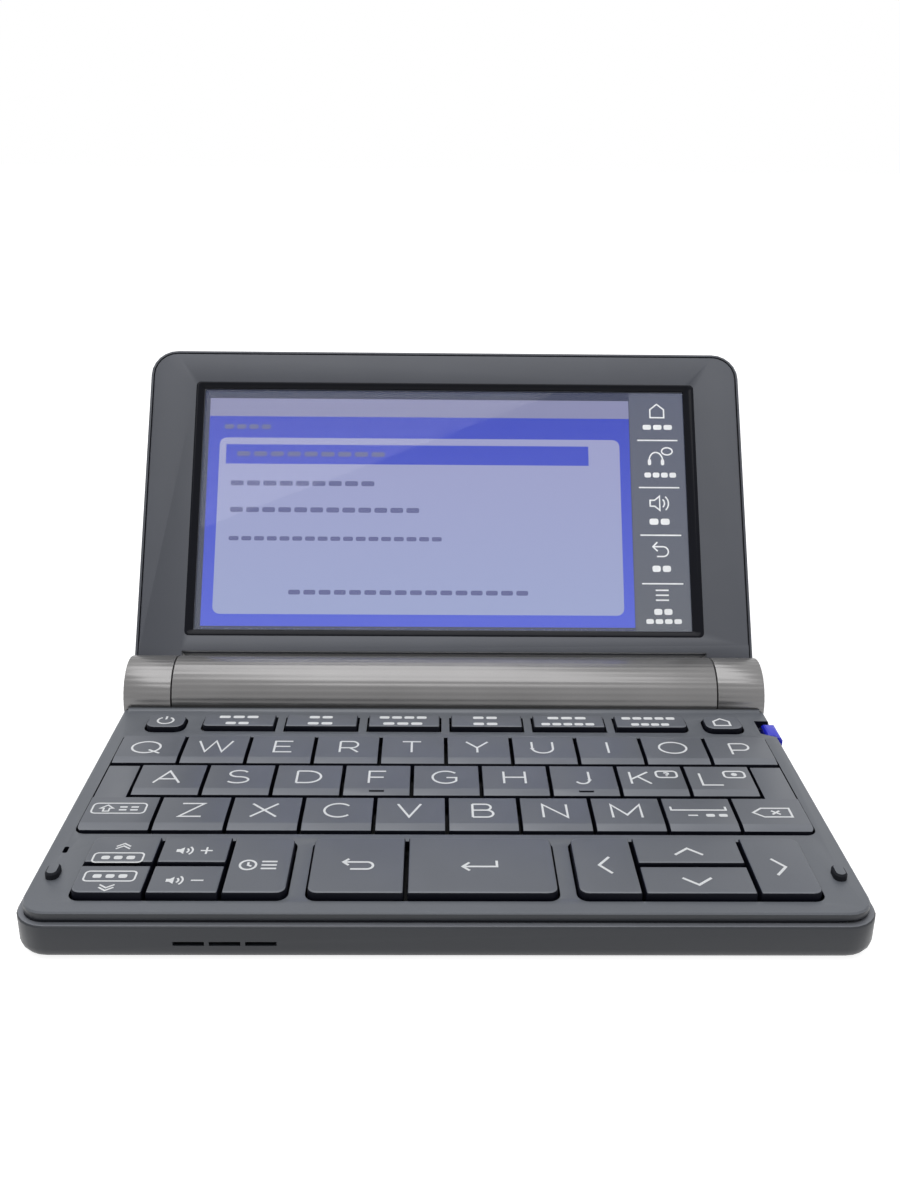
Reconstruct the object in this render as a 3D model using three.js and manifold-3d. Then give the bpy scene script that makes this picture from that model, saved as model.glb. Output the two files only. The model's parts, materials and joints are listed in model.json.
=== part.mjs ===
// Pocket electronic dictionary: a clamshell with a keyboard base, a ribbed hinge barrel
// that holds two AA cells, a lid with a wide touch display, and a stylus in the right side.
// Lengths are in millimetres, +X to the user's right, +Y away from the user, +Z up.
// The base is drawn about its own centre, the lid as it lies closed and then turned open.
// At the end the whole group is set down with its origin at the bottom centre of its box.
import * as THREE from "three";
import { mergeVertices } from "three/addons/utils/BufferGeometryUtils.js";
import Module from "manifold-3d";

const wasm = await Module();
wasm.setup();

// AA cells, which set the barrel's length and diameter
const cellRadius = 7.1;
const cellLength = 50.5;
const cellTipRadius = 2.7;
const cellTipLength = 1.2;

// Clearances and cutting
const seam = 0.3;
const turningGap = 0.35;
const keyGap = 0.4;
const lidClosedGap = 0.15;
const cellClearance = 0.6;
const overrun = 2;

// Overall base
const caseDepth = 96;
const caseCornerRadius = 6;
const caseBottomFillet = 2.4;
const caseRimChamfer = 0.3;
const caseFloorThickness = 1.4;
const caseWall = 1.8;
const footHeight = 0.3;
const footRadius = 4;
const footInsetX = 13;
const footInsetY = 10;

// Deck plate
const deckTop = 9.4;
const deckThickness = 1.5;
const deckInset = 1.15;
const deckShadowGap = 0.55;
const deckEdgeChamfer = 0.3;
const deckLipRun = 1.45;
const deckLipRise = 0.85;
const deckLipFromSide = 1;
const deckLipSteps = 5;
const blockBackRadius = 0.6;
const bumperHalfWidth = 1.2;
const bumperHalfDepth = 1.9;
const bumperCornerRadius = 1.15;
const bumperHeight = 1.3;
const bumperEdgeChamfer = 0.35;
const bumperFromSide = 4.5;
const bumperFromFront = 12.45;
const microphoneSlotWidth = 0.9;
const microphoneSlotLength = 2.1;
const microphoneCornerShare = 0.9;
const microphoneFromSide = 4.4;
const microphoneFromFront = 20.3;

// Hinge barrel and battery bay
const barrelGroundGap = 0.7;
const barrelWall = 1.1;
const barrelEndLength = 9.7;
const barrelRibDepth = 0.08;
const barrelRibCount = 40;
const barrelFluteSideShare = 0.3;
const knuckleLength = 11.65;
const knuckleInset = 0.9;
const pinRadius = 2.5;
const pinLength = 5;
const barrelSaddleReach = 5;
const rearFootLength = 7;
const rearFootWidth = 6;
const contactSpace = 2.8;
const coverThickness = 1.2;
const coverRearAngle = -22;
const coverRearGap = 0.45;
const coverFrontMargin = 0.5;

// Keys: how high each kind stands over the deck, and the margins round each field
const letterKeyRise = 0.6;
const functionKeyRise = 1;
const groupKeyRise = 1.15;
const keySkirt = 1;
const keyEdgeChamfer = 0.25;
const keyFrontLean = 0.45;
const keySpacing = 0.7;
const rowSpacing = 0.75;
const letterSideMargin = 4.6;
const letterBandDepth = 2.7;
const letterBandDrop = 0.3;
const shelfDrop = 0.35;
const outerKeyRadius = 1.7;
const functionKeyCount = 6;
const functionSpacing = 2.58;
const functionBackMargin = 3.95;
const functionToLetters = 3.5;
const functionDepthShare = 0.0975;
const functionEndRadius = 1.2;
const powerKeyWidth = 8.4;
const powerKeyInset = 12.35;
const powerKeyExtraDepth = 0.6;
const powerKeyRadius = 2;
const powerToFunction = 4.15;
const lettersToGroups = 3.15;
const groupDepthShare = 0.2886;
const groupFrontMargin = 4.9;
const groupSideMargin = 9.3;
const groupBar = 3.65;
const pageKeyShare = 0.1032;
const historyKeyShare = 0.092;
const backKeyShare = 0.1393;
const enterKeyShare = 0.2189;
const arrowKeyShare = 0.091;
const upDownKeyShare = 0.1614;
const tactileBarWidth = 2.9;
const tactileBarDepth = 0.45;
const tactileBarHeight = 0.2;
const tactileBarFromFront = 1.65;

// Inside the base
const bossRadius = 2.5;
const bossHeight = 1.2;
const boardThickness = 1;
const boardMargin = 3.4;
const boardSideMargin = 1.2;
const sheetThickness = 0.8;
const sheetMargin = 2.6;
const sheetSideMargin = 1.95;
const domeBaseRadius = 2.4;
const domeTopRadius = 1.5;
const speakerLength = 20;
const speakerDepth = 9;
const speakerDrop = 1.1;
const speakerFrontGap = 0.75;
const slotLength = 5.35;
const slotHeight = 0.8;
const slotPitch = 6.2;
const slotFromSide = 36.7;
const slotCentreZ = 3.85;
const slotCount = 3;

// Stylus and its groove in the right side
const stylusRadius = 1.55;
const stylusTipRadius = 0.45;
const stylusTipLength = 4;
const stylusFromFront = 11.6;
const stylusHeadFromBack = 5.65;
const stylusHeadLength = 6.2;
const stylusHeadWidth = 3.1;
const stylusHeadChamfer = 0.7;
const stylusGrooveWall = 0.6;
const notchReach = 4.5;
const notchBackGap = 1.1;
const notchDepth = 6.1;
const notchSlantAngle = 27;

// Lid
const lidOpenAngle = 123.5;
const lidFrontOverhang = 0.6;
const lidSideInset = 0.45;
const lidThickness = 6.3;
const lidCornerRadius = 6.5;
const lidHingeGap = 1.5;
const coverHingeGap = 1.2;
const lidBackThickness = 1.2;
const lidWall = 1.5;
const lidBackFillet = 1.6;
const bezelThickness = 1.5;
const lidRimWidth = 0.6;
const lidRimGap = 0.25;
const lidRimDrop = 0.1;
const bezelEdgeChamfer = 0.2;
const windowSideMargin = 11.6;
const windowHingeMargin = 3.8;
const windowFarMargin = 8.4;
const windowBevelSide = 2.1;
const windowBevelEnd = 1.7;
const windowBevelDepth = 0.9;
const windowCornerRadius = 1.4;
const glassThickness = 0.85;
const panelThickness = 2;
const panelOverlap = 1.4;
const postWidth = 4;
const postLengthShare = 0.77;

// How finely arcs are cut
const cornerSteps = 6;
const circleSteps = 24;
const domeSteps = 8;
const filletSteps = 4;
const keyCornerSteps = 4;
const windowCornerSteps = 4;
const stylusSteps = 16;
const quarterTurn = Math.PI / 2;
const straightDown = -90;

// Places worked out from the sizes: barrel and width
const bayRadius = cellRadius + cellClearance;
const barrelRadius = bayRadius + barrelWall;
const saddleRadius = barrelRadius + turningGap;
const bayHalf = cellLength + contactSpace;
const barrelHalf = bayHalf + barrelEndLength;
const knuckleInner = barrelHalf + turningGap;
const halfWidth = knuckleInner + knuckleLength;
const frontY = -caseDepth / 2;
const axisY = caseDepth / 2 - barrelRadius;
const axisZ = barrelGroundGap + barrelRadius;

// Heights inside the base
const floorTop = footHeight + caseFloorThickness;
const deckBottom = deckTop - deckThickness;
const rimTop = deckBottom - deckShadowGap;
const keyBottom = deckBottom - keySkirt;
const boardBottom = floorTop + bossHeight + seam;
const boardTop = boardBottom + boardThickness;
const sheetBottom = boardTop + seam;
const sheetTop = sheetBottom + sheetThickness;
const domeTop = keyBottom - seam;

// Key fields, from the hinge to the front and from side to side
const deckHalfWidth = halfWidth - deckInset;
const deckFront = frontY + deckInset;
const deckBack = axisY - saddleRadius;
const keyMargins = functionBackMargin + functionToLetters + lettersToGroups + groupFrontMargin;
const keyFieldDepth = deckBack - frontY - keyMargins;
const functionKeyDepth = keyFieldDepth * functionDepthShare;
const groupKeyDepth = keyFieldDepth * groupDepthShare;
const letterFieldDepth = keyFieldDepth - functionKeyDepth - groupKeyDepth;
const letterRows = ["qwertyuiop", "asdfghjkl", "zxcvbnm"];
const topRow = letterRows[0];
const letterRowPitch = (letterFieldDepth + rowSpacing) / letterRows.length;
const letterKeyDepth = letterRowPitch - rowSpacing;
const letterPitch = (2 * (halfWidth - letterSideMargin) + keySpacing) / topRow.length;
const functionRowBack = deckBack - functionBackMargin;
const letterRowsBack = functionRowBack - functionKeyDepth - functionToLetters;
const groupFront = frontY + groupFrontMargin;
const powerKeyCentre = halfWidth - powerKeyInset;
const functionHalf = powerKeyCentre - powerKeyWidth / 2 - powerToFunction;
const functionPitch = (2 * functionHalf + functionSpacing) / functionKeyCount;
const functionKeyWidth = functionPitch - functionSpacing;

// Lid
const lidInnerLift = deckTop + bumperHeight + lidClosedGap - axisZ;
const lidOuter = lidInnerLift + lidThickness;
const lidHalf = halfWidth - lidSideInset;
const lidLength = axisY - frontY + lidFrontOverhang;
const lidHingeEdge = barrelRadius + lidHingeGap;
const coverHingeEdge = barrelRadius + coverHingeGap;
const bezelBack = lidInnerLift + bezelThickness;
const bezelInset = lidRimWidth + lidRimGap;
const shellFront = bezelBack + seam;
const panelFront = lidInnerLift + windowBevelDepth + glassThickness + seam;
const windowHalf = lidHalf - windowSideMargin;
const windowNear = lidHingeEdge + windowHingeMargin;
const windowFar = lidLength - windowFarMargin;

// Colours and finishes
const finish = (color, roughness, metalness = 0) =>
  new THREE.MeshStandardMaterial({ color, roughness, metalness });
const satinGrey = finish(0x6b6e74, 0.5, 0.25);
const darkGrey = finish(0x4a4c51, 0.5, 0.2);
const lidGrey = finish(0x63666c, 0.45, 0.25);
const ribbedSilver = finish(0xb0b1b5, 0.3, 0.8);
const keyGrey = finish(0x6e7176, 0.55, 0.1);
const glossBlue = finish(0x413ccf, 0.15);
const boardGreen = finish(0x1f6b3a, 0.6);
const rubberGrey = finish(0x8d8f90, 0.9);
const glassDark = finish(0x15161c, 0.08);
const panelLavender = finish(0xa5a8cd, 0.4);
const cellSteel = finish(0xc9c4b4, 0.35, 0.7);

// Points of a rounded rectangle, counter-clockwise; radii in the order
// front left, front right, back right, back left.
function roundedOutline(x0, x1, y0, y1, radii, steps = cornerSteps) {
  const corners = [
    [x0, y0, 1, 1, 2 * quarterTurn],
    [x1, y0, -1, 1, 3 * quarterTurn],
    [x1, y1, -1, -1, 0],
    [x0, y1, 1, -1, quarterTurn],
  ];
  const points = [];
  corners.forEach(([x, y, inX, inY, start], index) => {
    const radius = Math.max(radii[index], 0);
    if (radius === 0) {
      points.push(new THREE.Vector2(x, y));
      return;
    }
    for (let step = 0; step <= steps; step += 1) {
      const angle = start + (quarterTurn * step) / steps;
      points.push(new THREE.Vector2(
        x + inX * radius + radius * Math.cos(angle),
        y + inY * radius + radius * Math.sin(angle),
      ));
    }
  });
  return points;
}

// A closed body through outlines of equal point count, from the lowest z up.
function loft(layers) {
  const positions = [];
  const at = (layer, index) => {
    const point = layer.points[index % layer.points.length];
    return [point.x, point.y, layer.z];
  };
  const count = layers[0].points.length;
  for (let level = 0; level + 1 < layers.length; level += 1) {
    const low = layers[level];
    const high = layers[level + 1];
    for (let index = 0; index < count; index += 1) {
      positions.push(...at(low, index), ...at(low, index + 1), ...at(high, index + 1));
      positions.push(...at(low, index), ...at(high, index + 1), ...at(high, index));
    }
  }
  const bottom = layers[0];
  const top = layers[layers.length - 1];
  for (const [a, b, c] of THREE.ShapeUtils.triangulateShape(bottom.points, [])) {
    positions.push(...at(bottom, a), ...at(bottom, c), ...at(bottom, b));
  }
  for (const [a, b, c] of THREE.ShapeUtils.triangulateShape(top.points, [])) {
    positions.push(...at(top, a), ...at(top, b), ...at(top, c));
  }
  const geometry = new THREE.BufferGeometry();
  geometry.setAttribute("position", new THREE.Float32BufferAttribute(positions, 3));
  return geometry;
}

function toSolid(geometry) {
  const bare = geometry.clone();
  bare.deleteAttribute("normal");
  bare.deleteAttribute("uv");
  const merged = mergeVertices(bare);
  return new wasm.Manifold(new wasm.Mesh({
    numProp: 3,
    vertProperties: Float32Array.from(merged.attributes.position.array),
    triVerts: Uint32Array.from(merged.index.array),
  }));
}

function toGeometry(solid) {
  const mesh = solid.getMesh();
  const indexed = new THREE.BufferGeometry();
  indexed.setAttribute("position", new THREE.BufferAttribute(mesh.vertProperties, 3));
  indexed.setIndex(new THREE.BufferAttribute(mesh.triVerts, 1));
  const geometry = indexed.toNonIndexed();
  geometry.computeVertexNormals();
  return geometry;
}

function block(x0, x1, y0, y1, z0, z1) {
  const geometry = new THREE.BoxGeometry(x1 - x0, y1 - y0, z1 - z0);
  geometry.translate((x0 + x1) / 2, (y0 + y1) / 2, (z0 + z1) / 2);
  return toSolid(geometry);
}

function plate(points, z0, z1) {
  return toSolid(loft([{ points, z: z0 }, { points, z: z1 }]));
}

// An upright round stud, or a cone where its top radius differs.
function stud(x, y, z0, z1, radius, topRadius = radius, steps = circleSteps) {
  const geometry = new THREE.CylinderGeometry(topRadius, radius, z1 - z0, steps);
  geometry.rotateX(quarterTurn);
  geometry.translate(x, y, (z0 + z1) / 2);
  return toSolid(geometry);
}

// A round bar along X about a given axis.
function barAlongX(x0, x1, y, z, radius, steps = circleSteps) {
  const geometry = new THREE.CylinderGeometry(radius, radius, x1 - x0, steps);
  geometry.rotateZ(quarterTurn);
  geometry.translate((x0 + x1) / 2, y, z);
  return toSolid(geometry);
}

// A profile drawn in (y, z) and drawn out along X.
function profileAlongX(points, x0, x1) {
  const shape = new THREE.Shape(points);
  const geometry = new THREE.ExtrudeGeometry(shape, { depth: x1 - x0, bevelEnabled: false });
  geometry.rotateY(quarterTurn);
  geometry.rotateX(quarterTurn);
  geometry.translate(x0, 0, 0);
  return toSolid(geometry);
}

function polar(radius, degrees, y = 0, z = 0) {
  const angle = THREE.MathUtils.degToRad(degrees);
  return new THREE.Vector2(y + radius * Math.cos(angle), z + radius * Math.sin(angle));
}

// A drum along X about (y, z), with shallow flutes all round.
function ribbedDrum(x0, x1, y, z) {
  const pitch = 360 / barrelRibCount;
  const side = pitch * barrelFluteSideShare;
  const ring = [];
  for (let rib = 0; rib < barrelRibCount; rib += 1) {
    const start = rib * pitch;
    ring.push(polar(barrelRadius, start, y, z));
    ring.push(polar(barrelRadius - barrelRibDepth, start + side, y, z));
    ring.push(polar(barrelRadius - barrelRibDepth, start + pitch - side, y, z));
  }
  return profileAlongX(ring, x0, x1);
}

// The span from inner to outer on one side of the middle, as a lower and a higher x.
function mirrored(side, inner, outer) {
  return side < 0 ? [-outer, -inner] : [inner, outer];
}

function mesh(name, solid, material) {
  const made = new THREE.Mesh(toGeometry(solid), material);
  made.name = name;
  return made;
}

// Key layout: every key is {name, x0, x1, y0, y1, top, radii}
const rowFront = (row) => letterRowsBack - letterKeyDepth - row * letterRowPitch;
const rowWidth = (count) => count * letterPitch - keySpacing;
const noRadii = [0, 0, 0, 0];

function letterRow(names, row) {
  return names.map((name, index) => {
    const centre = (index - (names.length - 1) / 2) * letterPitch;
    const half = (letterPitch - keySpacing) / 2;
    const y0 = rowFront(row);
    return { name, x0: centre - half, x1: centre + half, y0, y1: y0 + letterKeyDepth, radii: noRadii };
  });
}

const letterNames = (letters) => [...letters].map((letter) => `key_${letter}`);
const letterKeys = [
  ...letterRow(letterNames(letterRows[0]), 0),
  ...letterRow(letterNames(letterRows[1]), 1),
  ...letterRow(["shift_key", ...letterNames(letterRows[2]), "space_key", "delete_key"], 2),
];

const functionKeys = [];
for (let index = 0; index < functionKeyCount; index += 1) {
  const centre = (index - (functionKeyCount - 1) / 2) * functionPitch;
  const left = index === 0 ? functionEndRadius : 0;
  const right = index === functionKeyCount - 1 ? functionEndRadius : 0;
  functionKeys.push({
    name: `function_key_${index + 1}`,
    x0: centre - functionKeyWidth / 2,
    x1: centre + functionKeyWidth / 2,
    y0: functionRowBack - functionKeyDepth,
    y1: functionRowBack,
    radii: [left, right, right, left],
  });
}
for (const [name, centre] of [["power_key", -powerKeyCentre], ["home_key", powerKeyCentre]]) {
  functionKeys.push({
    name,
    x0: centre - powerKeyWidth / 2,
    x1: centre + powerKeyWidth / 2,
    y0: functionRowBack - functionKeyDepth - powerKeyExtraDepth,
    y1: functionRowBack,
    radii: [powerKeyRadius, powerKeyRadius, powerKeyRadius, powerKeyRadius],
  });
}

const bottomGroups = [
  [
    { names: ["previous_key", "next_key"], share: pageKeyShare },
    { names: ["volume_up_key", "volume_down_key"], share: pageKeyShare },
    { names: ["history_key"], share: historyKeyShare },
  ],
  [
    { names: ["back_key"], share: backKeyShare },
    { names: ["enter_key"], share: enterKeyShare },
  ],
  [
    { names: ["left_key"], share: arrowKeyShare },
    { names: ["up_key", "down_key"], share: upDownKeyShare },
    { names: ["right_key"], share: arrowKeyShare },
  ],
];
const groupsHalf = halfWidth - groupSideMargin;
const groupsSpacing = bottomGroups.reduce((sum, group) => sum + (group.length - 1) * keySpacing, 0);
const groupsBars = (bottomGroups.length - 1) * groupBar;
const groupsKeyWidth = 2 * groupsHalf - groupsSpacing - groupsBars;
const groupsShares = bottomGroups.flat().reduce((sum, column) => sum + column.share, 0);

const groupKeys = [];
const groupOpenings = [];
let cursorX = -groupsHalf;
for (const group of bottomGroups) {
  const openingLeft = cursorX;
  group.forEach((column, columnIndex) => {
    const width = (groupsKeyWidth * column.share) / groupsShares;
    const depth = (groupKeyDepth - (column.names.length - 1) * keySpacing) / column.names.length;
    const left = columnIndex === 0 ? outerKeyRadius : 0;
    const right = columnIndex === group.length - 1 ? outerKeyRadius : 0;
    column.names.forEach((name, stackIndex) => {
      const y1 = groupFront + groupKeyDepth - stackIndex * (depth + keySpacing);
      const isFront = stackIndex === column.names.length - 1;
      const isBack = stackIndex === 0;
      groupKeys.push({
        name,
        x0: cursorX,
        x1: cursorX + width,
        y0: y1 - depth,
        y1,
        radii: [isFront ? left : 0, isFront ? right : 0, isBack ? right : 0, isBack ? left : 0],
      });
    });
    cursorX += width + keySpacing;
  });
  cursorX -= keySpacing;
  groupOpenings.push([openingLeft, cursorX]);
  cursorX += groupBar;
}

// Bottom tray: filleted shell with saddles for the hinge, feet, bosses, sound slots
// and the open groove for the stylus.
const stylusInner = halfWidth - stylusHeadWidth;
const grooveInner = stylusInner - seam;
const grooveWallInner = grooveInner - stylusGrooveWall;
const stylusX = stylusInner + stylusRadius;
const stylusZ = deckBottom - seam - stylusRadius;
const grooveFloor = stylusZ - stylusRadius - seam;
const stylusBodyFront = frontY + stylusFromFront;
const stylusHeadBack = deckBack - stylusHeadFromBack;
const grooveFront = stylusBodyFront - 2 * seam;
const notchBack = stylusHeadBack + notchBackGap;
const speakerX = -halfWidth + slotFromSide;
const speakerFront = frontY + caseWall + speakerFrontGap;

function makeBottomCase() {
  const rearCut = axisY - barrelSaddleReach;
  const outline = (inset) => roundedOutline(
    -halfWidth + inset, halfWidth - inset, frontY + inset, axisY + caseBottomFillet,
    [caseCornerRadius - inset, caseCornerRadius - inset, 0, 0],
  );
  const layers = [];
  for (let step = 0; step <= filletSteps; step += 1) {
    const angle = (quarterTurn * step) / filletSteps;
    const inset = caseBottomFillet * (1 - Math.sin(angle));
    layers.push({ points: outline(inset), z: footHeight + caseBottomFillet * (1 - Math.cos(angle)) });
  }
  layers.push({ points: outline(0), z: rimTop - caseRimChamfer });
  layers.push({ points: outline(caseRimChamfer), z: rimTop });
  let tray = toSolid(loft(layers));

  const innerRadius = caseCornerRadius - caseWall;
  const inner = roundedOutline(
    -halfWidth + caseWall, halfWidth - caseWall, frontY + caseWall, deckBack - caseWall,
    [innerRadius, innerRadius, 0, 0],
  );
  tray = tray.subtract(plate(inner, floorTop, rimTop + overrun));
  const openHalf = barrelHalf - caseWall;
  tray = tray.subtract(block(-openHalf, openHalf, 0, axisY, floorTop, rimTop + overrun));

  const grooveBlock = block(
    grooveWallInner, halfWidth - caseWall / 2,
    grooveFront - caseWall, notchBack + caseWall, footHeight + caseFloorThickness / 2, rimTop,
  );
  tray = tray.add(grooveBlock);
  tray = tray.subtract(block(
    grooveInner, halfWidth + overrun, grooveFront, notchBack, grooveFloor, rimTop + overrun,
  ));

  const cutHalf = halfWidth + overrun;
  tray = tray.subtract(block(-cutHalf, cutHalf, rearCut, caseDepth, 0, rimTop + overrun));
  tray = tray.subtract(barAlongX(-cutHalf, cutHalf, axisY, axisZ, saddleRadius, 2 * circleSteps));
  const coverHalf = bayHalf + seam;
  const coverFront = deckBack - coverFrontMargin - seam;
  tray = tray.subtract(block(-coverHalf, coverHalf, coverFront, caseDepth, 0, rimTop + overrun));

  const floorMiddle = footHeight + caseFloorThickness / 2;
  for (const side of [-1, 1]) {
    const x = side * (halfWidth - footInsetX);
    tray = tray.add(stud(x, frontY + footInsetY, 0, floorMiddle, footRadius));
    for (const along of [-1, 0, 1]) {
      const y = along * (deckBack - footInsetY);
      tray = tray.add(stud(x, y, floorMiddle, floorTop + bossHeight, bossRadius));
    }
  }
  for (let index = 0; index < slotCount; index += 1) {
    const x = speakerX + (index - (slotCount - 1) / 2) * slotPitch;
    tray = tray.subtract(block(
      x - slotLength / 2, x + slotLength / 2, frontY - overrun, frontY + caseWall + overrun / 2,
      slotCentreZ - slotHeight / 2, slotCentreZ + slotHeight / 2,
    ));
  }
  return mesh("bottom_case", tray, darkGrey);
}

// Deck plate with its key openings, lid bumpers, microphone slot and stylus notch.
const notchSlope = Math.tan(THREE.MathUtils.degToRad(notchSlantAngle));
const notchOutline = () => {
  const left = halfWidth - notchReach;
  const right = halfWidth + overrun;
  const front = notchBack - notchDepth;
  return [
    new THREE.Vector2(left, front),
    new THREE.Vector2(right, front - notchSlope * (right - left)),
    new THREE.Vector2(right, notchBack),
    new THREE.Vector2(left, notchBack),
  ];
};

function makeDeck() {
  const cornerRadius = caseCornerRadius - deckInset;
  const outline = (inset) => roundedOutline(
    -deckHalfWidth + inset, deckHalfWidth - inset, deckFront + inset, deckBack,
    [cornerRadius - inset, cornerRadius - inset, 0, 0],
  );
  let deck = toSolid(loft([
    { points: outline(0), z: deckBottom },
    { points: outline(0), z: deckTop - deckEdgeChamfer },
    { points: outline(deckEdgeChamfer), z: deckTop },
  ]));

  const cut = (x0, x1, y0, y1, radii) => {
    const points = roundedOutline(x0 - keyGap, x1 + keyGap, y0 - keyGap, y1 + keyGap, radii);
    deck = deck.subtract(plate(points, deckBottom - overrun, deckTop + overrun));
  };
  const outerRadius = outerKeyRadius + keyGap;
  const blockHalf = rowWidth(topRow.length) / 2;
  const blockRadii = [outerRadius, outerRadius, blockBackRadius, blockBackRadius];
  cut(-blockHalf, blockHalf, rowFront(2), letterRowsBack, blockRadii);
  for (const key of functionKeys) {
    cut(key.x0, key.x1, key.y0, key.y1, key.radii.map((radius) => (radius > 0 ? radius + keyGap : 0)));
  }
  for (const [left, right] of groupOpenings) {
    const radii = [outerRadius, outerRadius, outerRadius, outerRadius];
    cut(left, right, groupFront, groupFront + groupKeyDepth, radii);
  }

  const lip = [new THREE.Vector2(deckBack - deckLipRun, deckTop - deckEdgeChamfer)];
  for (let step = 0; step <= deckLipSteps; step += 1) {
    const angle = (quarterTurn * step) / deckLipSteps;
    lip.push(new THREE.Vector2(
      deckBack - deckLipRun * (1 - Math.sin(angle)),
      deckTop + deckLipRise * (1 - Math.cos(angle)),
    ));
  }
  lip.push(new THREE.Vector2(deckBack, deckTop - deckEdgeChamfer));
  const lipHalf = deckHalfWidth - deckLipFromSide;
  deck = deck.add(profileAlongX(lip, -lipHalf, lipHalf));
  deck = deck.subtract(plate(notchOutline(), deckBottom - overrun, deckTop + overrun));
  for (const side of [-1, 1]) {
    const x = side * (halfWidth - bumperFromSide);
    const y = frontY + bumperFromFront;
    const ring = (inset) => {
      const radius = bumperCornerRadius - inset;
      return roundedOutline(
        x - bumperHalfWidth + inset, x + bumperHalfWidth - inset,
        y - bumperHalfDepth + inset, y + bumperHalfDepth - inset, [radius, radius, radius, radius],
      );
    };
    deck = deck.add(toSolid(loft([
      { points: ring(0), z: deckTop - deckThickness / 2 },
      { points: ring(0), z: deckTop + bumperHeight - bumperEdgeChamfer },
      { points: ring(bumperEdgeChamfer), z: deckTop + bumperHeight },
    ])));
  }
  const slotX = -halfWidth + microphoneFromSide;
  const slotY = frontY + microphoneFromFront;
  const slotHalf = microphoneSlotWidth / 2;
  const slotReach = microphoneSlotLength / 2;
  const slotRadius = slotHalf * microphoneCornerShare;
  const slotOutline = roundedOutline(
    slotX - slotHalf, slotX + slotHalf, slotY - slotReach, slotY + slotReach,
    [slotRadius, slotRadius, slotRadius, slotRadius],
  );
  deck = deck.subtract(plate(slotOutline, deckBottom - overrun, deckTop + overrun));
  return mesh("keyboard_deck", deck, satinGrey);
}

// Middle of the barrel: ribbed drum hollowed for the battery bay, with pin bores in its
// solid ends, a wall in front of the cells, and the two rear feet.
function makeHingeBarrel() {
  const wallBottom = barrelGroundGap + coverThickness + seam;
  const hollow = [];
  for (let step = 0; step <= circleSteps; step += 1) {
    const degrees = coverRearAngle + ((180 - coverRearAngle) * step) / circleSteps;
    hollow.push(polar(bayRadius, degrees, axisY, axisZ));
  }
  hollow.push(new THREE.Vector2(axisY - bayRadius, -overrun));
  hollow.push(new THREE.Vector2(axisY + 2 * barrelRadius, -overrun));
  hollow.push(polar(2 * barrelRadius, coverRearAngle, axisY, axisZ));
  let barrel = ribbedDrum(-barrelHalf, barrelHalf, axisY, axisZ);
  barrel = barrel.subtract(profileAlongX(hollow, -bayHalf, bayHalf));
  barrel = barrel.add(block(
    -bayHalf - seam, bayHalf + seam, axisY - barrelRadius + barrelRibDepth, axisY - bayRadius,
    wallBottom, axisZ,
  ));
  for (const side of [-1, 1]) {
    const [boreLeft, boreRight] = mirrored(side, barrelHalf - pinLength, barrelHalf + overrun);
    barrel = barrel.subtract(barAlongX(boreLeft, boreRight, axisY, axisZ, pinRadius + seam));
    const footX = side * (bayHalf + barrelHalf) / 2;
    barrel = barrel.add(block(
      footX - rearFootLength / 2, footX + rearFootLength / 2,
      axisY - rearFootWidth / 2, axisY + rearFootWidth / 2, 0, axisZ - barrelRadius / 2,
    ));
  }
  return mesh("hinge_barrel", barrel, ribbedSilver);
}

// Battery cover: a flat tongue that curls up behind the cells.
function makeBatteryCover() {
  const reach = coverRearAngle - THREE.MathUtils.radToDeg(coverRearGap / barrelRadius);
  const sweep = reach - straightDown;
  const innerRadius = barrelRadius - coverThickness;
  const tongueFront = deckBack - coverFrontMargin;
  const points = [
    new THREE.Vector2(tongueFront, barrelGroundGap),
  ];
  for (let step = 0; step <= circleSteps; step += 1) {
    points.push(polar(barrelRadius, straightDown + (sweep * step) / circleSteps, axisY, axisZ));
  }
  for (let step = circleSteps; step >= 0; step -= 1) {
    points.push(polar(innerRadius, straightDown + (sweep * step) / circleSteps, axisY, axisZ));
  }
  points.push(new THREE.Vector2(tongueFront, barrelGroundGap + coverThickness));
  const half = bayHalf - seam;
  return mesh("battery_cover", profileAlongX(points, -half, half), darkGrey);
}

// Two AA cells end to end, tip against base.
function makeCells() {
  const can = cellLength - cellTipLength;
  const half = cellLength;
  const profile = [
    [0, -half],
    [cellRadius, -half],
    [cellRadius, -half + can],
    [cellTipRadius, -half + can],
    [cellTipRadius, 0],
    [cellRadius, 0],
    [cellRadius, can],
    [cellTipRadius, can],
    [cellTipRadius, half],
    [0, half],
  ].map(([radius, along]) => new THREE.Vector2(radius, along));
  const geometry = new THREE.LatheGeometry(profile, circleSteps);
  geometry.rotateZ(-quarterTurn);
  geometry.translate(0, axisY, axisZ);
  return mesh("aa_batteries", toSolid(geometry), cellSteel);
}

// Main board with the loudspeaker hanging from its front edge.
function makeMainBoard() {
  const half = grooveWallInner - boardSideMargin;
  const front = frontY + caseWall + boardMargin;
  let board = block(-half, half, front, deckBack - boardMargin, boardBottom, boardTop);
  board = board.add(block(
    speakerX - speakerLength / 2, speakerX + speakerLength / 2,
    speakerFront, speakerFront + speakerDepth, boardBottom - speakerDrop, boardTop,
  ));
  return mesh("main_board", board, boardGreen);
}

const allKeys = [
  ...letterKeys.map((key) => ({ ...key, top: deckTop + letterKeyRise, isLetter: true })),
  ...functionKeys.map((key) => ({ ...key, top: deckTop + functionKeyRise })),
  ...groupKeys.map((key) => ({ ...key, top: deckTop + groupKeyRise })),
];

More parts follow.
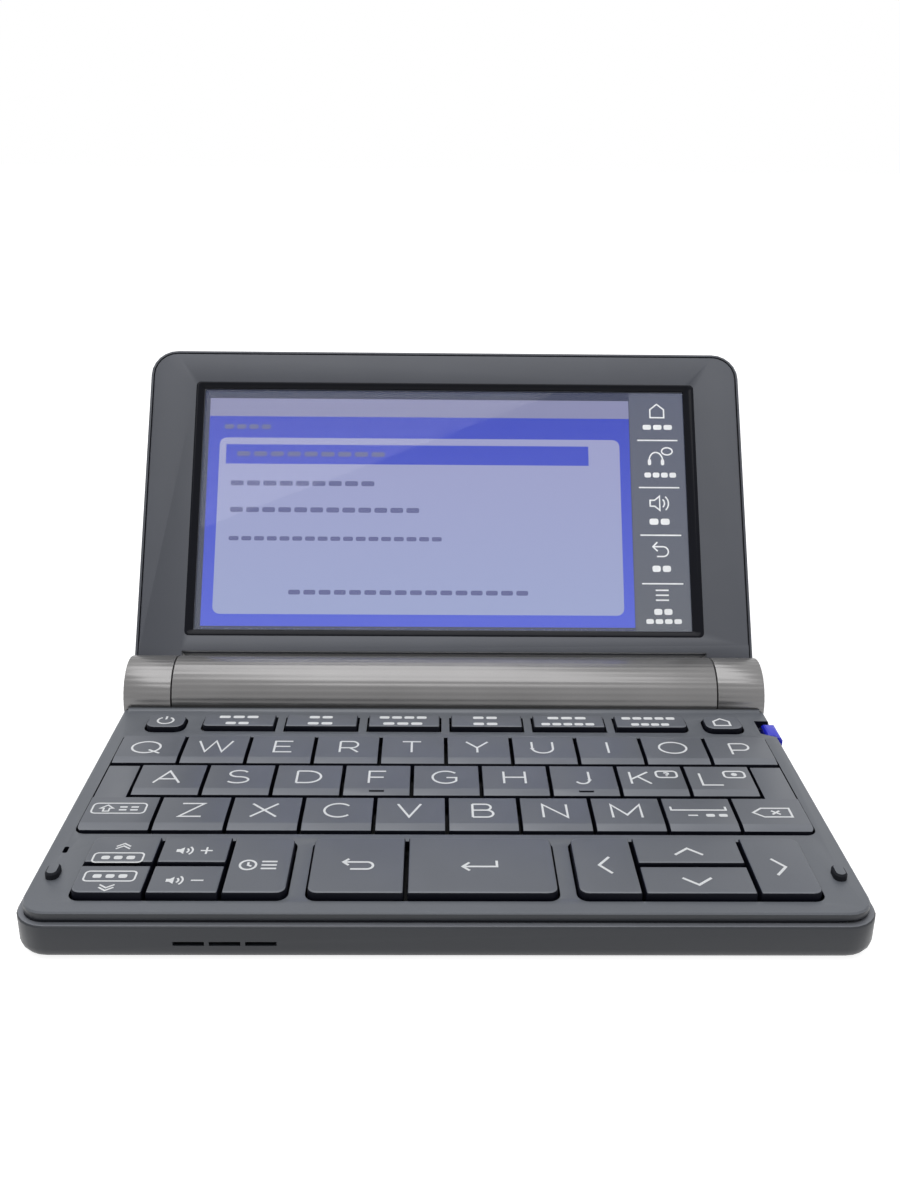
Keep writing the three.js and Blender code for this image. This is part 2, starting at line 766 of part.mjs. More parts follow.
// Rubber sheet with one dome under each key.
function makeKeypadSheet() {
  const half = grooveWallInner - sheetSideMargin;
  const front = frontY + caseWall + sheetMargin;
  let sheet = block(-half, half, front, deckBack - sheetMargin, sheetBottom, sheetTop);
  for (const key of allKeys) {
    const x = (key.x0 + key.x1) / 2;
    const y = (key.y0 + key.y1) / 2;
    const start = sheetTop - sheetThickness / 2;
    sheet = sheet.add(stud(x, y, start, domeTop, domeBaseRadius, domeTopRadius, domeSteps));
  }
  return mesh("keypad_sheet", sheet, rubberGrey);
}

// A flat cap with a small chamfer round its top and a front that leans back.
function flatCap(key) {
  const outline = (inset, lean) => roundedOutline(
    key.x0 + inset, key.x1 - inset, key.y0 + inset + lean, key.y1 - inset,
    key.radii.map((radius) => (radius > 0 ? radius - inset : 0)), keyCornerSteps,
  );
  return toSolid(loft([
    { points: outline(0, 0), z: keyBottom },
    { points: outline(0, keyFrontLean), z: key.top - keyEdgeChamfer },
    { points: outline(keyEdgeChamfer, keyFrontLean), z: key.top },
  ]));
}

// A letter cap: flat, with a band along its front that slopes down.
function letterCap(key) {
  const profile = [
    [key.y0, keyBottom],
    [key.y1, keyBottom],
    [key.y1, key.top - keyEdgeChamfer],
    [key.y1 - keyEdgeChamfer, key.top],
    [key.y0 + letterBandDepth, key.top],
    [key.y0 + keyFrontLean, key.top - letterBandDrop],
  ].map(([y, z]) => new THREE.Vector2(y, z));
  return profileAlongX(profile, key.x0, key.x1);
}

// The lowered shelf beside the middle letter row, and the rounded outer front corner.
function edgeLetterCap(key, side) {
  const rowEdge = rowWidth(letterRows[1].length) / 2 + keySpacing;
  const [shelfX0, shelfX1] = mirrored(side, rowEdge, rowWidth(topRow.length) / 2);
  const shelfBack = rowFront(1) + letterKeyDepth;
  const shelf = block(shelfX0, shelfX1, key.y1 - overrun, shelfBack, keyBottom, key.top - shelfDrop);
  const left = side < 0 ? outerKeyRadius : 0;
  const right = side < 0 ? 0 : outerKeyRadius;
  const trim = roundedOutline(
    Math.min(key.x0, shelfX0), Math.max(key.x1, shelfX1), key.y0, shelfBack, [left, right, 0, 0],
  );
  return letterCap(key).add(shelf).intersect(plate(trim, keyBottom, key.top));
}

function makeKey(key) {
  if (key.name === "shift_key") {
    return mesh(key.name, edgeLetterCap(key, -1), keyGrey);
  }
  if (key.name === "delete_key") {
    return mesh(key.name, edgeLetterCap(key, 1), keyGrey);
  }
  if (!key.isLetter) {
    return mesh(key.name, flatCap(key), keyGrey);
  }
  let cap = letterCap(key);
  if (key.name === "key_f" || key.name === "key_j") {
    const x = (key.x0 + key.x1) / 2;
    const y = key.y0 + tactileBarFromFront;
    cap = cap.add(block(
      x - tactileBarWidth / 2, x + tactileBarWidth / 2, y, y + tactileBarDepth,
      key.top - tactileBarHeight, key.top + tactileBarHeight,
    ));
  }
  return mesh(key.name, cap, keyGrey);
}

// Stylus: slim round body and a flat-topped head that stands in the deck's notch.
function makeStylus() {
  const headFront = stylusHeadBack - stylusHeadLength;
  const profile = [
    [0, stylusBodyFront],
    [stylusTipRadius, stylusBodyFront],
    [stylusRadius, stylusBodyFront + stylusTipLength],
    [stylusRadius, headFront + stylusRadius],
    [0, headFront + stylusRadius],
  ].map(([radius, along]) => new THREE.Vector2(radius, along));
  const geometry = new THREE.LatheGeometry(profile, stylusSteps);
  geometry.translate(stylusX, 0, stylusZ);
  const notchFront = notchBack - notchDepth + keyGap;
  const frontAt = (x) => notchFront - notchSlope * (x - (halfWidth - notchReach));
  const outline = (inset) => [
    new THREE.Vector2(stylusInner + inset, frontAt(stylusInner) + inset),
    new THREE.Vector2(halfWidth - inset, frontAt(halfWidth) + inset),
    new THREE.Vector2(halfWidth - inset, stylusHeadBack - inset),
    new THREE.Vector2(stylusInner + inset, stylusHeadBack - inset),
  ];
  const head = toSolid(loft([
    { points: outline(stylusHeadChamfer / 2), z: stylusZ - stylusRadius },
    { points: outline(0), z: stylusZ - stylusRadius + stylusHeadChamfer / 2 },
    { points: outline(0), z: deckTop - stylusHeadChamfer },
    { points: outline(stylusHeadChamfer / 2), z: deckTop - stylusHeadChamfer / 4 },
    { points: outline(stylusHeadChamfer), z: deckTop },
  ]));
  return mesh("stylus", toSolid(geometry).add(head), glossBlue);
}

// Lid pieces lie closed here: y runs from the hinge axis towards the user as a
// negative number, z is the height above the axis.
const lidOutline = (inset, hingeEdge = lidHingeEdge) => roundedOutline(
  -lidHalf + inset, lidHalf - inset, -lidLength + inset, -hingeEdge,
  [lidCornerRadius - inset, lidCornerRadius - inset, 0, 0],
);

function windowRing(side, end) {
  const half = windowHalf - side;
  const radius = Math.max(windowCornerRadius - end / 2, windowCornerRadius / 4);
  const radii = [radius, radius, radius, radius];
  return roundedOutline(-half, half, -windowFar + end, -windowNear - end, radii, windowCornerSteps);
}

function makeBezel() {
  let bezel = toSolid(loft([
    { points: lidOutline(bezelInset + bezelEdgeChamfer), z: lidInnerLift },
    { points: lidOutline(bezelInset), z: lidInnerLift + bezelEdgeChamfer },
    { points: lidOutline(bezelInset), z: bezelBack },
  ]));
  for (const side of [-1, 1]) {
    const [left, right] = mirrored(side, knuckleInner, lidHalf - bezelInset);
    const earRoot = -lidHingeEdge - overrun;
    bezel = bezel.add(block(left, right, earRoot, -barrelRadius - seam, lidInnerLift, bezelBack));
  }
  const bevelFloor = lidInnerLift + windowBevelDepth;
  bezel = bezel.subtract(toSolid(loft([
    { points: windowRing(0, 0), z: lidInnerLift - overrun },
    { points: windowRing(0, 0), z: lidInnerLift },
    { points: windowRing(windowBevelSide, windowBevelEnd), z: bevelFloor },
    { points: windowRing(windowBevelSide, windowBevelEnd), z: bezelBack + overrun },
  ])));
  return mesh("lid_bezel", bezel, lidGrey);
}

function makeGlass() {
  const ring = windowRing(windowBevelSide + seam, windowBevelEnd + seam);
  const front = lidInnerLift + windowBevelDepth;
  return mesh("display_glass", plate(ring, front, front + glassThickness), glassDark);
}

function makePanel() {
  const ring = windowRing(windowBevelSide - panelOverlap, windowBevelEnd - panelOverlap);
  return mesh("lcd_panel", plate(ring, panelFront, panelFront + panelThickness), panelLavender);
}

function makeBackCover() {
  const layers = [{ points: lidOutline(0, coverHingeEdge), z: shellFront }];
  for (let step = 0; step <= filletSteps; step += 1) {
    const angle = (quarterTurn * step) / filletSteps;
    const inset = lidBackFillet * (1 - Math.cos(angle));
    const z = lidOuter - lidBackFillet * (1 - Math.sin(angle));
    layers.push({ points: lidOutline(inset, coverHingeEdge), z });
  }
  let cover = toSolid(loft(layers));
  const innerRadius = lidCornerRadius - lidWall;
  const hollow = roundedOutline(
    -lidHalf + lidWall, lidHalf - lidWall, -lidLength + lidWall, -coverHingeEdge - lidWall,
    [innerRadius, innerRadius, 0, 0],
  );
  cover = cover.subtract(plate(hollow, shellFront - overrun, lidOuter - lidBackThickness));
  const earTip = barrelRadius + seam;
  const rimFront = lidInnerLift + lidRimDrop;
  const rim = toSolid(loft([
    { points: lidOutline(bezelEdgeChamfer, earTip), z: rimFront },
    { points: lidOutline(0, earTip), z: rimFront + bezelEdgeChamfer },
    { points: lidOutline(0, earTip), z: shellFront + seam },
  ]));
  cover = cover.add(rim.subtract(plate(lidOutline(lidRimWidth, 0), 0, lidOuter)));
  const postFront = panelFront + panelThickness + seam;
  const middle = -(windowNear + windowFar) / 2;
  const postReach = ((windowFar - windowNear) * postLengthShare) / 2;
  for (const side of [-1, 1]) {
    const x = (side * windowHalf) / 2;
    cover = cover.add(block(
      x - postWidth / 2, x + postWidth / 2, middle - postReach, middle + postReach,
      postFront, lidOuter - lidBackThickness / 2,
    ));
    const earRoot = -coverHingeEdge - lidWall / 2;
    const [earLeft, earRight] = mirrored(side, knuckleInner, lidHalf);
    cover = cover.add(block(earLeft, earRight, earRoot, 0, shellFront, lidOuter - lidBackFillet / 2));
    const [drumLeft, drumRight] = mirrored(side, knuckleInner, halfWidth - knuckleInset);
    cover = cover.add(ribbedDrum(drumLeft, drumRight, 0, 0));
    const pinTip = barrelHalf - pinLength + turningGap;
    const [pinLeft, pinRight] = mirrored(side, pinTip, knuckleInner + overrun);
    cover = cover.add(barAlongX(pinLeft, pinRight, 0, 0, pinRadius));
  }
  return mesh("lid_back_cover", cover, lidGrey);
}

const base = new THREE.Group();
base.add(makeBottomCase(), makeDeck(), makeHingeBarrel(), makeBatteryCover(), makeCells());
base.add(makeMainBoard(), makeKeypadSheet(), makeStylus());
base.add(...allKeys.map(makeKey));

const lid = new THREE.Group();
lid.position.set(0, axisY, axisZ);
lid.rotation.x = THREE.MathUtils.degToRad(-lidOpenAngle);
lid.add(makeBackCover(), makeBezel(), makeGlass(), makePanel());

const dictionary = new THREE.Group();
dictionary.add(base, lid);
const box = new THREE.Box3().setFromObject(dictionary, true);
dictionary.position.set(-(box.min.x + box.max.x) / 2, -(box.min.y + box.max.y) / 2, -box.min.z);

export default dictionary;
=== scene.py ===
import json
from math import cos, pi, radians, sin, sqrt

import bmesh
import bpy
from mathutils import Matrix, Vector


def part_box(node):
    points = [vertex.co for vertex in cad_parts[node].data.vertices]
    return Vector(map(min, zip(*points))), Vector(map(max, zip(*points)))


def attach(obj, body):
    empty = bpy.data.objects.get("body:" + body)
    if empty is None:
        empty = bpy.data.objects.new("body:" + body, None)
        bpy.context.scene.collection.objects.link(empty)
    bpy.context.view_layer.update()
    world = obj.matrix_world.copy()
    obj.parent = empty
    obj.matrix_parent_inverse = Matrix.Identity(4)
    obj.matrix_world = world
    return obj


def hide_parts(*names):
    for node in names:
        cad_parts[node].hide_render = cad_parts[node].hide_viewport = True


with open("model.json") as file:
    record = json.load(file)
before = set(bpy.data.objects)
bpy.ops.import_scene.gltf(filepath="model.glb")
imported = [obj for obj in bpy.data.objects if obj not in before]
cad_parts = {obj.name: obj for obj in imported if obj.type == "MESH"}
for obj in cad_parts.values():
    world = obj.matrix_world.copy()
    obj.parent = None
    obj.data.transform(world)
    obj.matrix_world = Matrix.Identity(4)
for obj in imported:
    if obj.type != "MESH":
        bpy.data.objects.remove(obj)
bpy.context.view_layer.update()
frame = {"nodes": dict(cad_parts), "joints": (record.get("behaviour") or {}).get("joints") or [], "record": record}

# Units
mm = 0.001

# Edge softening and paint sizes
merge_distance = 0.002 * mm
flat_angle = radians(1.5)
bevel_angle = radians(26)
crease_angle = radians(4)
crease_share = 0.35
crease_reach = 2.2
edge_steps = 3
ink_height = 0.03 * mm
ink_depth = 0.02 * mm
ink_step = 0.003 * mm

# Hinge and lid, from the frame
hinge = next(joint for joint in frame["joints"] if joint["name"] == "lid_hinge")
axis_y, axis_z = hinge["pos_m"][1:]
lean = radians(180 - hinge["range_deg"][1])
lid_along = Vector((0, cos(lean), sin(lean)))
lid_away = Vector((0, sin(lean), -cos(lean)))


def on_lid(x, along, lift):
    """A point by its distance along the lid from the axis, and its height above the axis's plane."""
    return Vector((x, axis_y, axis_z)) + lid_along * along + lid_away * lift


def lid_span(node):
    """(half width, nearest, farthest, inner lift, outer lift) of a lid node."""
    points = [vertex.co for vertex in frame["nodes"][node].data.vertices]
    origin = Vector((0, axis_y, axis_z))
    along = [(point - origin).dot(lid_along) for point in points]
    lift = [(point - origin).dot(lid_away) for point in points]
    return max(point.x for point in points), min(along), max(along), min(lift), max(lift)


# Materials

def srgb(red, green, blue):
    """A colour written as 0 to 255 sRGB, made linear."""
    def linear(value):
        share = value / 255
        return share / 12.92 if share <= 0.04045 else ((share + 0.055) / 1.055) ** 2.4
    return (linear(red), linear(green), linear(blue), 1.0)


def shader(name):
    material = bpy.data.materials.new(name)
    material.use_nodes = True
    nodes = material.node_tree.nodes
    return material, nodes, material.node_tree.links, nodes["Principled BSDF"]


def moulded(name, color, roughness, metallic=0.0, grain=0.16 * mm, depth=0.004 * mm, shade=0.08, coat=0.0):
    """Moulded or painted plastic: fine grain in colour, roughness and bump."""
    material, nodes, links, surface = shader(name)
    surface.inputs["Metallic"].default_value = metallic
    surface.inputs["Coat Weight"].default_value = coat
    place = nodes.new("ShaderNodeTexCoord")
    fine = nodes.new("ShaderNodeTexNoise")
    fine.inputs["Scale"].default_value = 1 / grain
    fine.inputs["Detail"].default_value = 3.0
    links.new(place.outputs["Object"], fine.inputs["Vector"])
    broad = nodes.new("ShaderNodeTexNoise")
    broad.inputs["Scale"].default_value = 1 / (90 * grain)
    broad.inputs["Detail"].default_value = 2.0
    links.new(place.outputs["Object"], broad.inputs["Vector"])
    both = nodes.new("ShaderNodeMath")
    both.operation = "ADD"
    links.new(fine.outputs["Fac"], both.inputs[0])
    links.new(broad.outputs["Fac"], both.inputs[1])
    half = nodes.new("ShaderNodeMath")
    half.operation = "MULTIPLY"
    half.inputs[1].default_value = 0.5
    links.new(both.outputs[0], half.inputs[0])
    tint = nodes.new("ShaderNodeValToRGB")
    tint.color_ramp.elements[0].position = 0.3
    tint.color_ramp.elements[1].position = 0.7
    tint.color_ramp.elements[0].color = [value * (1 - shade) for value in color[:3]] + [1]
    tint.color_ramp.elements[1].color = [value * (1 + shade) for value in color[:3]] + [1]
    links.new(half.outputs[0], tint.inputs["Fac"])
    links.new(tint.outputs["Color"], surface.inputs["Base Color"])
    sheen = nodes.new("ShaderNodeMapRange")
    sheen.inputs["To Min"].default_value = roughness - 0.05
    sheen.inputs["To Max"].default_value = roughness + 0.05
    links.new(fine.outputs["Fac"], sheen.inputs["Value"])
    links.new(sheen.outputs["Result"], surface.inputs["Roughness"])
    bump = nodes.new("ShaderNodeBump")
    bump.inputs["Strength"].default_value = 1.0
    bump.inputs["Distance"].default_value = depth
    links.new(fine.outputs["Fac"], bump.inputs["Height"])
    links.new(bump.outputs["Normal"], surface.inputs["Normal"])
    return material


def dull(material, specular):
    """The material with a weaker surface reflection."""
    material.node_tree.nodes["Principled BSDF"].inputs["Specular IOR Level"].default_value = specular
    return material


def lit(name, far, near, glow):
    """A glowing patch that runs from one colour at its near edge to another at its far edge. It serves the lit
    display, and also the panel's margin and the touch strip, whose glow is painted light.
    """
    material, nodes, links, surface = shader(name)
    low = on_lid(0, screen_near, panel_lift).z
    high = on_lid(0, screen_far, panel_lift).z
    place = nodes.new("ShaderNodeTexCoord")
    split = nodes.new("ShaderNodeSeparateXYZ")
    links.new(place.outputs["Object"], split.inputs["Vector"])
    height = nodes.new("ShaderNodeMapRange")
    height.inputs["From Min"].default_value = low
    height.inputs["From Max"].default_value = high
    links.new(split.outputs["Z"], height.inputs["Value"])
    blend = nodes.new("ShaderNodeMix")
    blend.data_type = "RGBA"
    blend.inputs["A"].default_value = near
    blend.inputs["B"].default_value = far
    links.new(height.outputs["Result"], blend.inputs["Factor"])
    links.new(blend.outputs["Result"], surface.inputs["Emission Color"])
    surface.inputs["Base Color"].default_value = (0.01, 0.01, 0.012, 1)
    surface.inputs["Emission Strength"].default_value = glow
    surface.inputs["Roughness"].default_value = 0.5
    surface.inputs["Specular IOR Level"].default_value = 0.0
    return material


def clear_glass(name):
    material, *_, surface = shader(name)
    surface.inputs["Base Color"].default_value = (1, 1, 1, 1)
    surface.inputs["Roughness"].default_value = 0.0
    surface.inputs["IOR"].default_value = 1.2
    surface.inputs["Transmission Weight"].default_value = 1.0
    return material


def in_rounded(point, low, high, radius):
    """How far a point lies outside a rounded rectangle seen from above, or below zero inside."""
    reach_x = abs(point.x - (low.x + high.x) / 2) - (high.x - low.x) / 2 + radius
    reach_y = abs(point.y - (low.y + high.y) / 2) - (high.y - low.y) / 2 + radius
    return sqrt(max(reach_x, 0) ** 2 + max(reach_y, 0) ** 2) + min(max(reach_x, reach_y), 0) - radius


# Places on the display, in the lid's own plane
glass_half, glass_near, glass_far = lid_span("display_glass")[:3]
panel_lift = lid_span("lcd_panel")[3]
bezel_lift, bezel_back = lid_span("lid_bezel")[3:]
screen_left, screen_right = -59.6 * mm, 46.6 * mm
screen_near, screen_far = 16.8 * mm, 75.7 * mm

case_paint = moulded("case_plastic", srgb(44, 47, 53), 0.38, 0.1, depth=0.006 * mm)
# Painted highlight: the case rim's upward faces get this much lighter copy of the case paint.
ledge_highlight = moulded("case_rim_painted_highlight", srgb(120, 123, 130), 0.42, 0.1)
deck_paint = moulded("deck_satin", srgb(102, 106, 113), 0.4, 0.1)
key_paint = moulded("key_matte", srgb(100, 104, 112), 0.37, 0.05)
# Painted highlight: a lighter copy of the key paint for the sloping band along each key's front.
key_band_highlight = moulded("key_band_highlight", srgb(112, 116, 124), 0.37, 0.05)
# Partly painted shade: near-black for the keys' dark bodies, their edge chamfers and the walls of the deck's key
# openings.
dark_wall_and_shade = dull(moulded("key_wall_and_painted_shade", srgb(14, 16, 26), 0.5), 0.12)
lid_paint = moulded("lid_satin", srgb(76, 79, 87), 0.45, 0.1)
shade_paint = moulded("seam_shade", srgb(46, 47, 51), 0.7)
barrel_paint = moulded("barrel_silver", srgb(131, 130, 130), 0.31, 0.55, depth=0.002 * mm)
# Black rubber for the feet, also used as painted shade on the bumpers' sides and on the dark strip in the shadow
# gap under the deck.
rubber_and_shade = dull(moulded("rubber_and_shade", srgb(26, 28, 34), 0.75, depth=0.01 * mm), 0.2)
rim_black = dull(moulded("rim_gloss", srgb(18, 20, 29), 0.1, depth=0.0002 * mm, shade=0.02), 0.1)
speaker_black = moulded("speaker_black", srgb(20, 20, 24), 0.6)
ink_white = moulded("ink_white", srgb(236, 238, 240), 0.5)
stylus_blue = moulded("stylus_blue", srgb(38, 46, 220), 0.16, coat=0.2, depth=0.0008 * mm)
stylus_dark = moulded("stylus_dark", srgb(34, 35, 39), 0.4)
cell_metal = moulded("cell_metal", srgb(190, 188, 184), 0.3, 0.9, depth=0.001 * mm)
cell_sleeve = moulded("cell_sleeve", srgb(42, 58, 96), 0.25, 0.2, depth=0.0006 * mm, coat=0.4)
plated = moulded("plated_steel", srgb(176, 176, 172), 0.24, 0.95, depth=0.0006 * mm)
board_green = moulded("board_green", srgb(30, 104, 58), 0.45)
dome_rubber = moulded("dome_rubber", srgb(30, 31, 34), 0.7)
display_glass = clear_glass("display_glass")
lavender = lit("lit_lavender", srgb(161, 163, 205), srgb(163, 173, 212), 0.92)
pale_strip = lit("lit_pale_strip", srgb(140, 142, 178), srgb(133, 137, 170), 0.95)
blue = lit("lit_blue", srgb(63, 77, 190), srgb(96, 109, 216), 0.95)
# Painted glow: the panel's dark margin glows as if lit, lighter towards the hinge; it is no lamp.
margin_glow = lit("margin_glow", srgb(66, 71, 93), srgb(86, 90, 102), 1.0)
# Painted glow: the touch strip glows as if lit, a little lighter towards the hinge; it is no lamp.
strip_glow = lit("strip_glow", srgb(95, 100, 118), srgb(103, 107, 115), 1.0)
ink_grey = lit("ink_grey", srgb(104, 108, 150), srgb(104, 108, 150), 1.0)


# Mesh helpers

def add_piece(name, mesh, body, materials, stands_for=()):
    piece = bpy.data.objects.new(name, mesh)
    bpy.context.scene.collection.objects.link(piece)
    for material in materials:
        mesh.materials.append(material)
    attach(piece, body)
    if stands_for:
        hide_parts(*stands_for)
    return piece


def body_of(node):
    return next(name for name, nodes in frame["record"]["behaviour"]["bodies"].items() if node in nodes)


def softened(node, name, materials, radius, paint=None, creased=False):
    """A CAD node's shape with its edges rounded. paint(centre, normal) gives each face's material number."""
    shape = bmesh.new()
    shape.from_mesh(frame["nodes"][node].data)
    bmesh.ops.remove_doubles(shape, verts=shape.verts, dist=merge_distance)
    bmesh.ops.dissolve_limit(shape, angle_limit=flat_angle, verts=shape.verts, edges=shape.edges)
    for face in shape.faces:
        face.smooth = True
    weights = shape.edges.layers.float.new("bevel_weight_edge")
    for edge in shape.edges:
        turn = edge.calc_face_angle(0)
        if turn > bevel_angle:
            edge[weights] = 1
        elif creased and crease_angle < turn < crease_reach * crease_angle:
            edge[weights] = crease_share
    rough = bpy.data.meshes.new(name + "_rough")
    shape.to_mesh(rough)
    shape.free()
    carrier = bpy.data.objects.new(name + "_rough", rough)
    bpy.context.scene.collection.objects.link(carrier)
    bevel = carrier.modifiers.new("edge", "BEVEL")
    bevel.width = radius
    bevel.segments = edge_steps
    bevel.limit_method = "WEIGHT"
    bevel.harden_normals = True
    graph = bpy.context.evaluated_depsgraph_get()
    mesh = bpy.data.meshes.new_from_object(carrier.evaluated_get(graph), depsgraph=graph)
    mesh.name = name
    bpy.data.objects.remove(carrier)
    bpy.data.meshes.remove(rough)
    if paint:
        for face in mesh.polygons:
            face.material_index = paint(face.center, face.normal)
    return add_piece(name, mesh, body_of(node), materials, [node])


mitre_limit = 0.45


def offset_points(points, width, closed):
    """The left and right edges of a line of that width."""
    count = len(points)
    edges = []
    for index, point in enumerate(points):
        before = points[index - 1] if index or closed else None
        after = points[(index + 1) % count] if index + 1 < count or closed else None
        first = (Vector(point) - Vector(before)).normalized() if before else None
        second = (Vector(after) - Vector(point)).normalized() if after else None
        run = first or second
        nxt = second or first
        side = Vector((-run.y - nxt.y, run.x + nxt.x)).normalized()
        reach = width / 2 / max(mitre_limit, side.dot(Vector((-run.y, run.x))))
        edges.append((Vector(point) + side * reach, Vector(point) - side * reach))
    return edges


def join_rings(shape, pairs):
    """Faces between each pair of rings of vertices."""
    for ring, following in pairs:
        for index in range(len(ring)):
            nxt = (index + 1) % len(ring)
            shape.faces.new((ring[index], ring[nxt], following[nxt], following[index]))


def add_line(shape, place, points, width, closed=False):
    """A flat printed line, thin but closed, through points of the (u, v) plane that place() maps."""
    edges = offset_points(points, width, closed)
    rings = []
    for left, right in edges:
        rings.append([shape.verts.new(place(left.x, left.y, ink_height)),
                      shape.verts.new(place(left.x, left.y, -ink_depth)),
                      shape.verts.new(place(right.x, right.y, -ink_depth)),
                      shape.verts.new(place(right.x, right.y, ink_height))])
    pairs = list(zip(rings, rings[1:]))
    if closed:
        pairs.append((rings[-1], rings[0]))
    join_rings(shape, pairs)
    if not closed:
        shape.faces.new(rings[0][::-1])
        shape.faces.new(rings[-1])


def add_patch(shape, place, outline, high=ink_height, low=-ink_depth):
    """A filled outline of the (u, v) plane, thin but closed."""
    top = [shape.verts.new(place(u, v, high)) for u, v in outline]
    bottom = [shape.verts.new(place(u, v, low)) for u, v in outline]
    shape.faces.new(top)
    shape.faces.new(bottom[::-1])
    for index in range(len(outline)):
        nxt = (index + 1) % len(outline)
        shape.faces.new((top[index], bottom[index], bottom[nxt], top[nxt]))


def mesh_from(shape, name, smooth=False):
    bmesh.ops.recalc_face_normals(shape, faces=shape.faces)
    for face in shape.faces:
        face.smooth = smooth
    mesh = bpy.data.meshes.new(name)
    shape.to_mesh(mesh)
    shape.free()
    return mesh


def arc(centre, radii, start, end, steps=None):
    """Points of an ellipse between two angles in degrees."""
    count = steps or max(4, int(abs(end - start) / 12))
    angles = [radians(start + (end - start) * step / count) for step in range(count + 1)]
    return [(centre[0] + radii[0] * cos(a), centre[1] + radii[1] * sin(a)) for a in angles]


def rounded_box(half_u, half_v, radius, centre=(0, 0), steps=5):
    points = []
    for side_u, side_v, start in ((1, 1, 0), (-1, 1, 90), (-1, -1, 180), (1, -1, 270)):
        corner = (centre[0] + side_u * (half_u - radius), centre[1] + side_v * (half_v - radius))
        points += arc(corner, (radius, radius), start, start + 90, steps)
    return points


# Letters, drawn in units of their own height

def bowl(right, low, high):
    radius = (high - low) / 2
    reach = min(radius * 1.15, right)
    return [(0, high)] + arc((right - reach, (low + high) / 2), (reach, radius), 90, -90) + [(0, low)]


def round_letter(start=0, end=360):
    return arc((0.5, 0.5), (0.5, 0.52), start, end, 32)


letter_strokes = {
    "a": [[(0, 0), (0.5, 1), (1, 0)], [(0.18, 0.33), (0.82, 0.33)]],
    "b": [[(0, 0), (0, 1)], bowl(0.9, 0.53, 1), bowl(1, 0, 0.53)],
    "c": [arc((0.56, 0.5), (0.56, 0.52), 43, 317, 24)],
    "d": [[(0, 0), (0, 1)], bowl(1, 0, 1)],
    "e": [[(0.98, 1), (0, 1), (0, 0), (1, 0)], [(0, 0.51), (0.88, 0.51)]],
    "f": [[(1, 1), (0, 1), (0, 0)], [(0, 0.48), (0.88, 0.48)]],
    "g": [arc((0.53, 0.5), (0.53, 0.52), 43, 323, 24) + [(0.96, 0.47), (0.56, 0.47)]],
    "h": [[(0, 0), (0, 1)], [(1, 0), (1, 1)], [(0, 0.51), (1, 0.51)]],
    "i": [[(0, 0), (0, 1)]],
    "j": [[(1, 1), (1, 0.32)] + arc((0.5, 0.32), (0.5, 0.34), 0, -150)],
    "k": [[(0, 0), (0, 1)], [(0.95, 1), (0, 0.36)], [(0.37, 0.61), (1, 0)]],
    "l": [[(0, 1), (0, 0), (1, 0)]],
    "m": [[(0, 0), (0, 1), (0.5, 0.2), (1, 1), (1, 0)]],
    "n": [[(0, 0), (0, 1), (1, 0), (1, 1)]],
    "o": [round_letter(0, 349)],
    "p": [[(0, 0), (0, 1)], bowl(1, 0.38, 1)],
    "q": [arc((0.48, 0.5), (0.48, 0.52), 0, 349, 32), [(0.6, 0.26), (1, -0.06)]],
    "r": [[(0, 0), (0, 1)], bowl(0.98, 0.4, 1), [(0.54, 0.4), (1, 0)]],
    "s": [arc((0.5, 0.76), (0.42, 0.27), 28, 270) + arc((0.5, 0.23), (0.5, 0.26), 90, -150)[1:]],
    "t": [[(0, 1), (1, 1)], [(0.5, 1), (0.5, 0)]],
    "u": [[(0, 1), (0, 0.4)] + arc((0.5, 0.4), (0.5, 0.43), 180, 360) + [(1, 1)]],
    "v": [[(0, 1), (0.5, 0), (1, 1)]],
    "w": [[(0, 1), (0.25, 0), (0.5, 1), (0.75, 0), (1, 1)]],
    "x": [[(0, 1), (1, 0)], [(0, 0), (1, 1)]],
    "y": [[(0, 1), (0.5, 0.44), (1, 1)], [(0.5, 0.44), (0.5, 0)]],
    "z": [[(0, 1), (1, 1), (0, 0), (1, 0)]],
}
closed_letters = {"o", "q"}
letter_widths = {
    "a": 5.3, "b": 4.0, "c": 4.9, "d": 4.9, "e": 3.8, "f": 3.4, "g": 5.1, "h": 4.4, "i": 0.0, "j": 2.9,
    "k": 4.0, "l": 4.2, "m": 5.7, "n": 4.7, "o": 5.9, "p": 4.0, "q": 6.3, "r": 3.9, "s": 4.4, "t": 4.0,
    "u": 4.5, "v": 4.5, "w": 7.2, "x": 5.0, "y": 4.7, "z": 4.3}
letter_height = 4.75 * mm
letter_weight = 0.46 * mm
letter_drop = 5.0 * mm
letter_shift = -0.3 * mm
letter_nudges = {
    "e": 0.65, "r": 0.65, "f": 0.25, "d": 0.35, "b": 0.25, "p": 0.4, "h": 0.2, "n": 0.25, "m": 0.15,
    "k": -2.1, "l": -1.65, "q": -0.35, "a": -0.2}
letter_lowered = {"q": 0.5, "p": 0.45, "l": 0.5, "a": 0.2}
mark_centre = (3.25, 2.6)
mark_half_width = 2.15
mark_half_height = 1.3
mark_corner = 0.8


def key_top(node):
    """The (u, v, height) map of a key's top, with its origin at the key's centre."""
    low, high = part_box(node)
    level = high.z - (tactile_rise if node in ("key_f", "key_j") else 0)

    def place(u, v, height):
        return Vector(((low.x + high.x) / 2 + u, (low.y + high.y) / 2 + v, level + height))
    return place


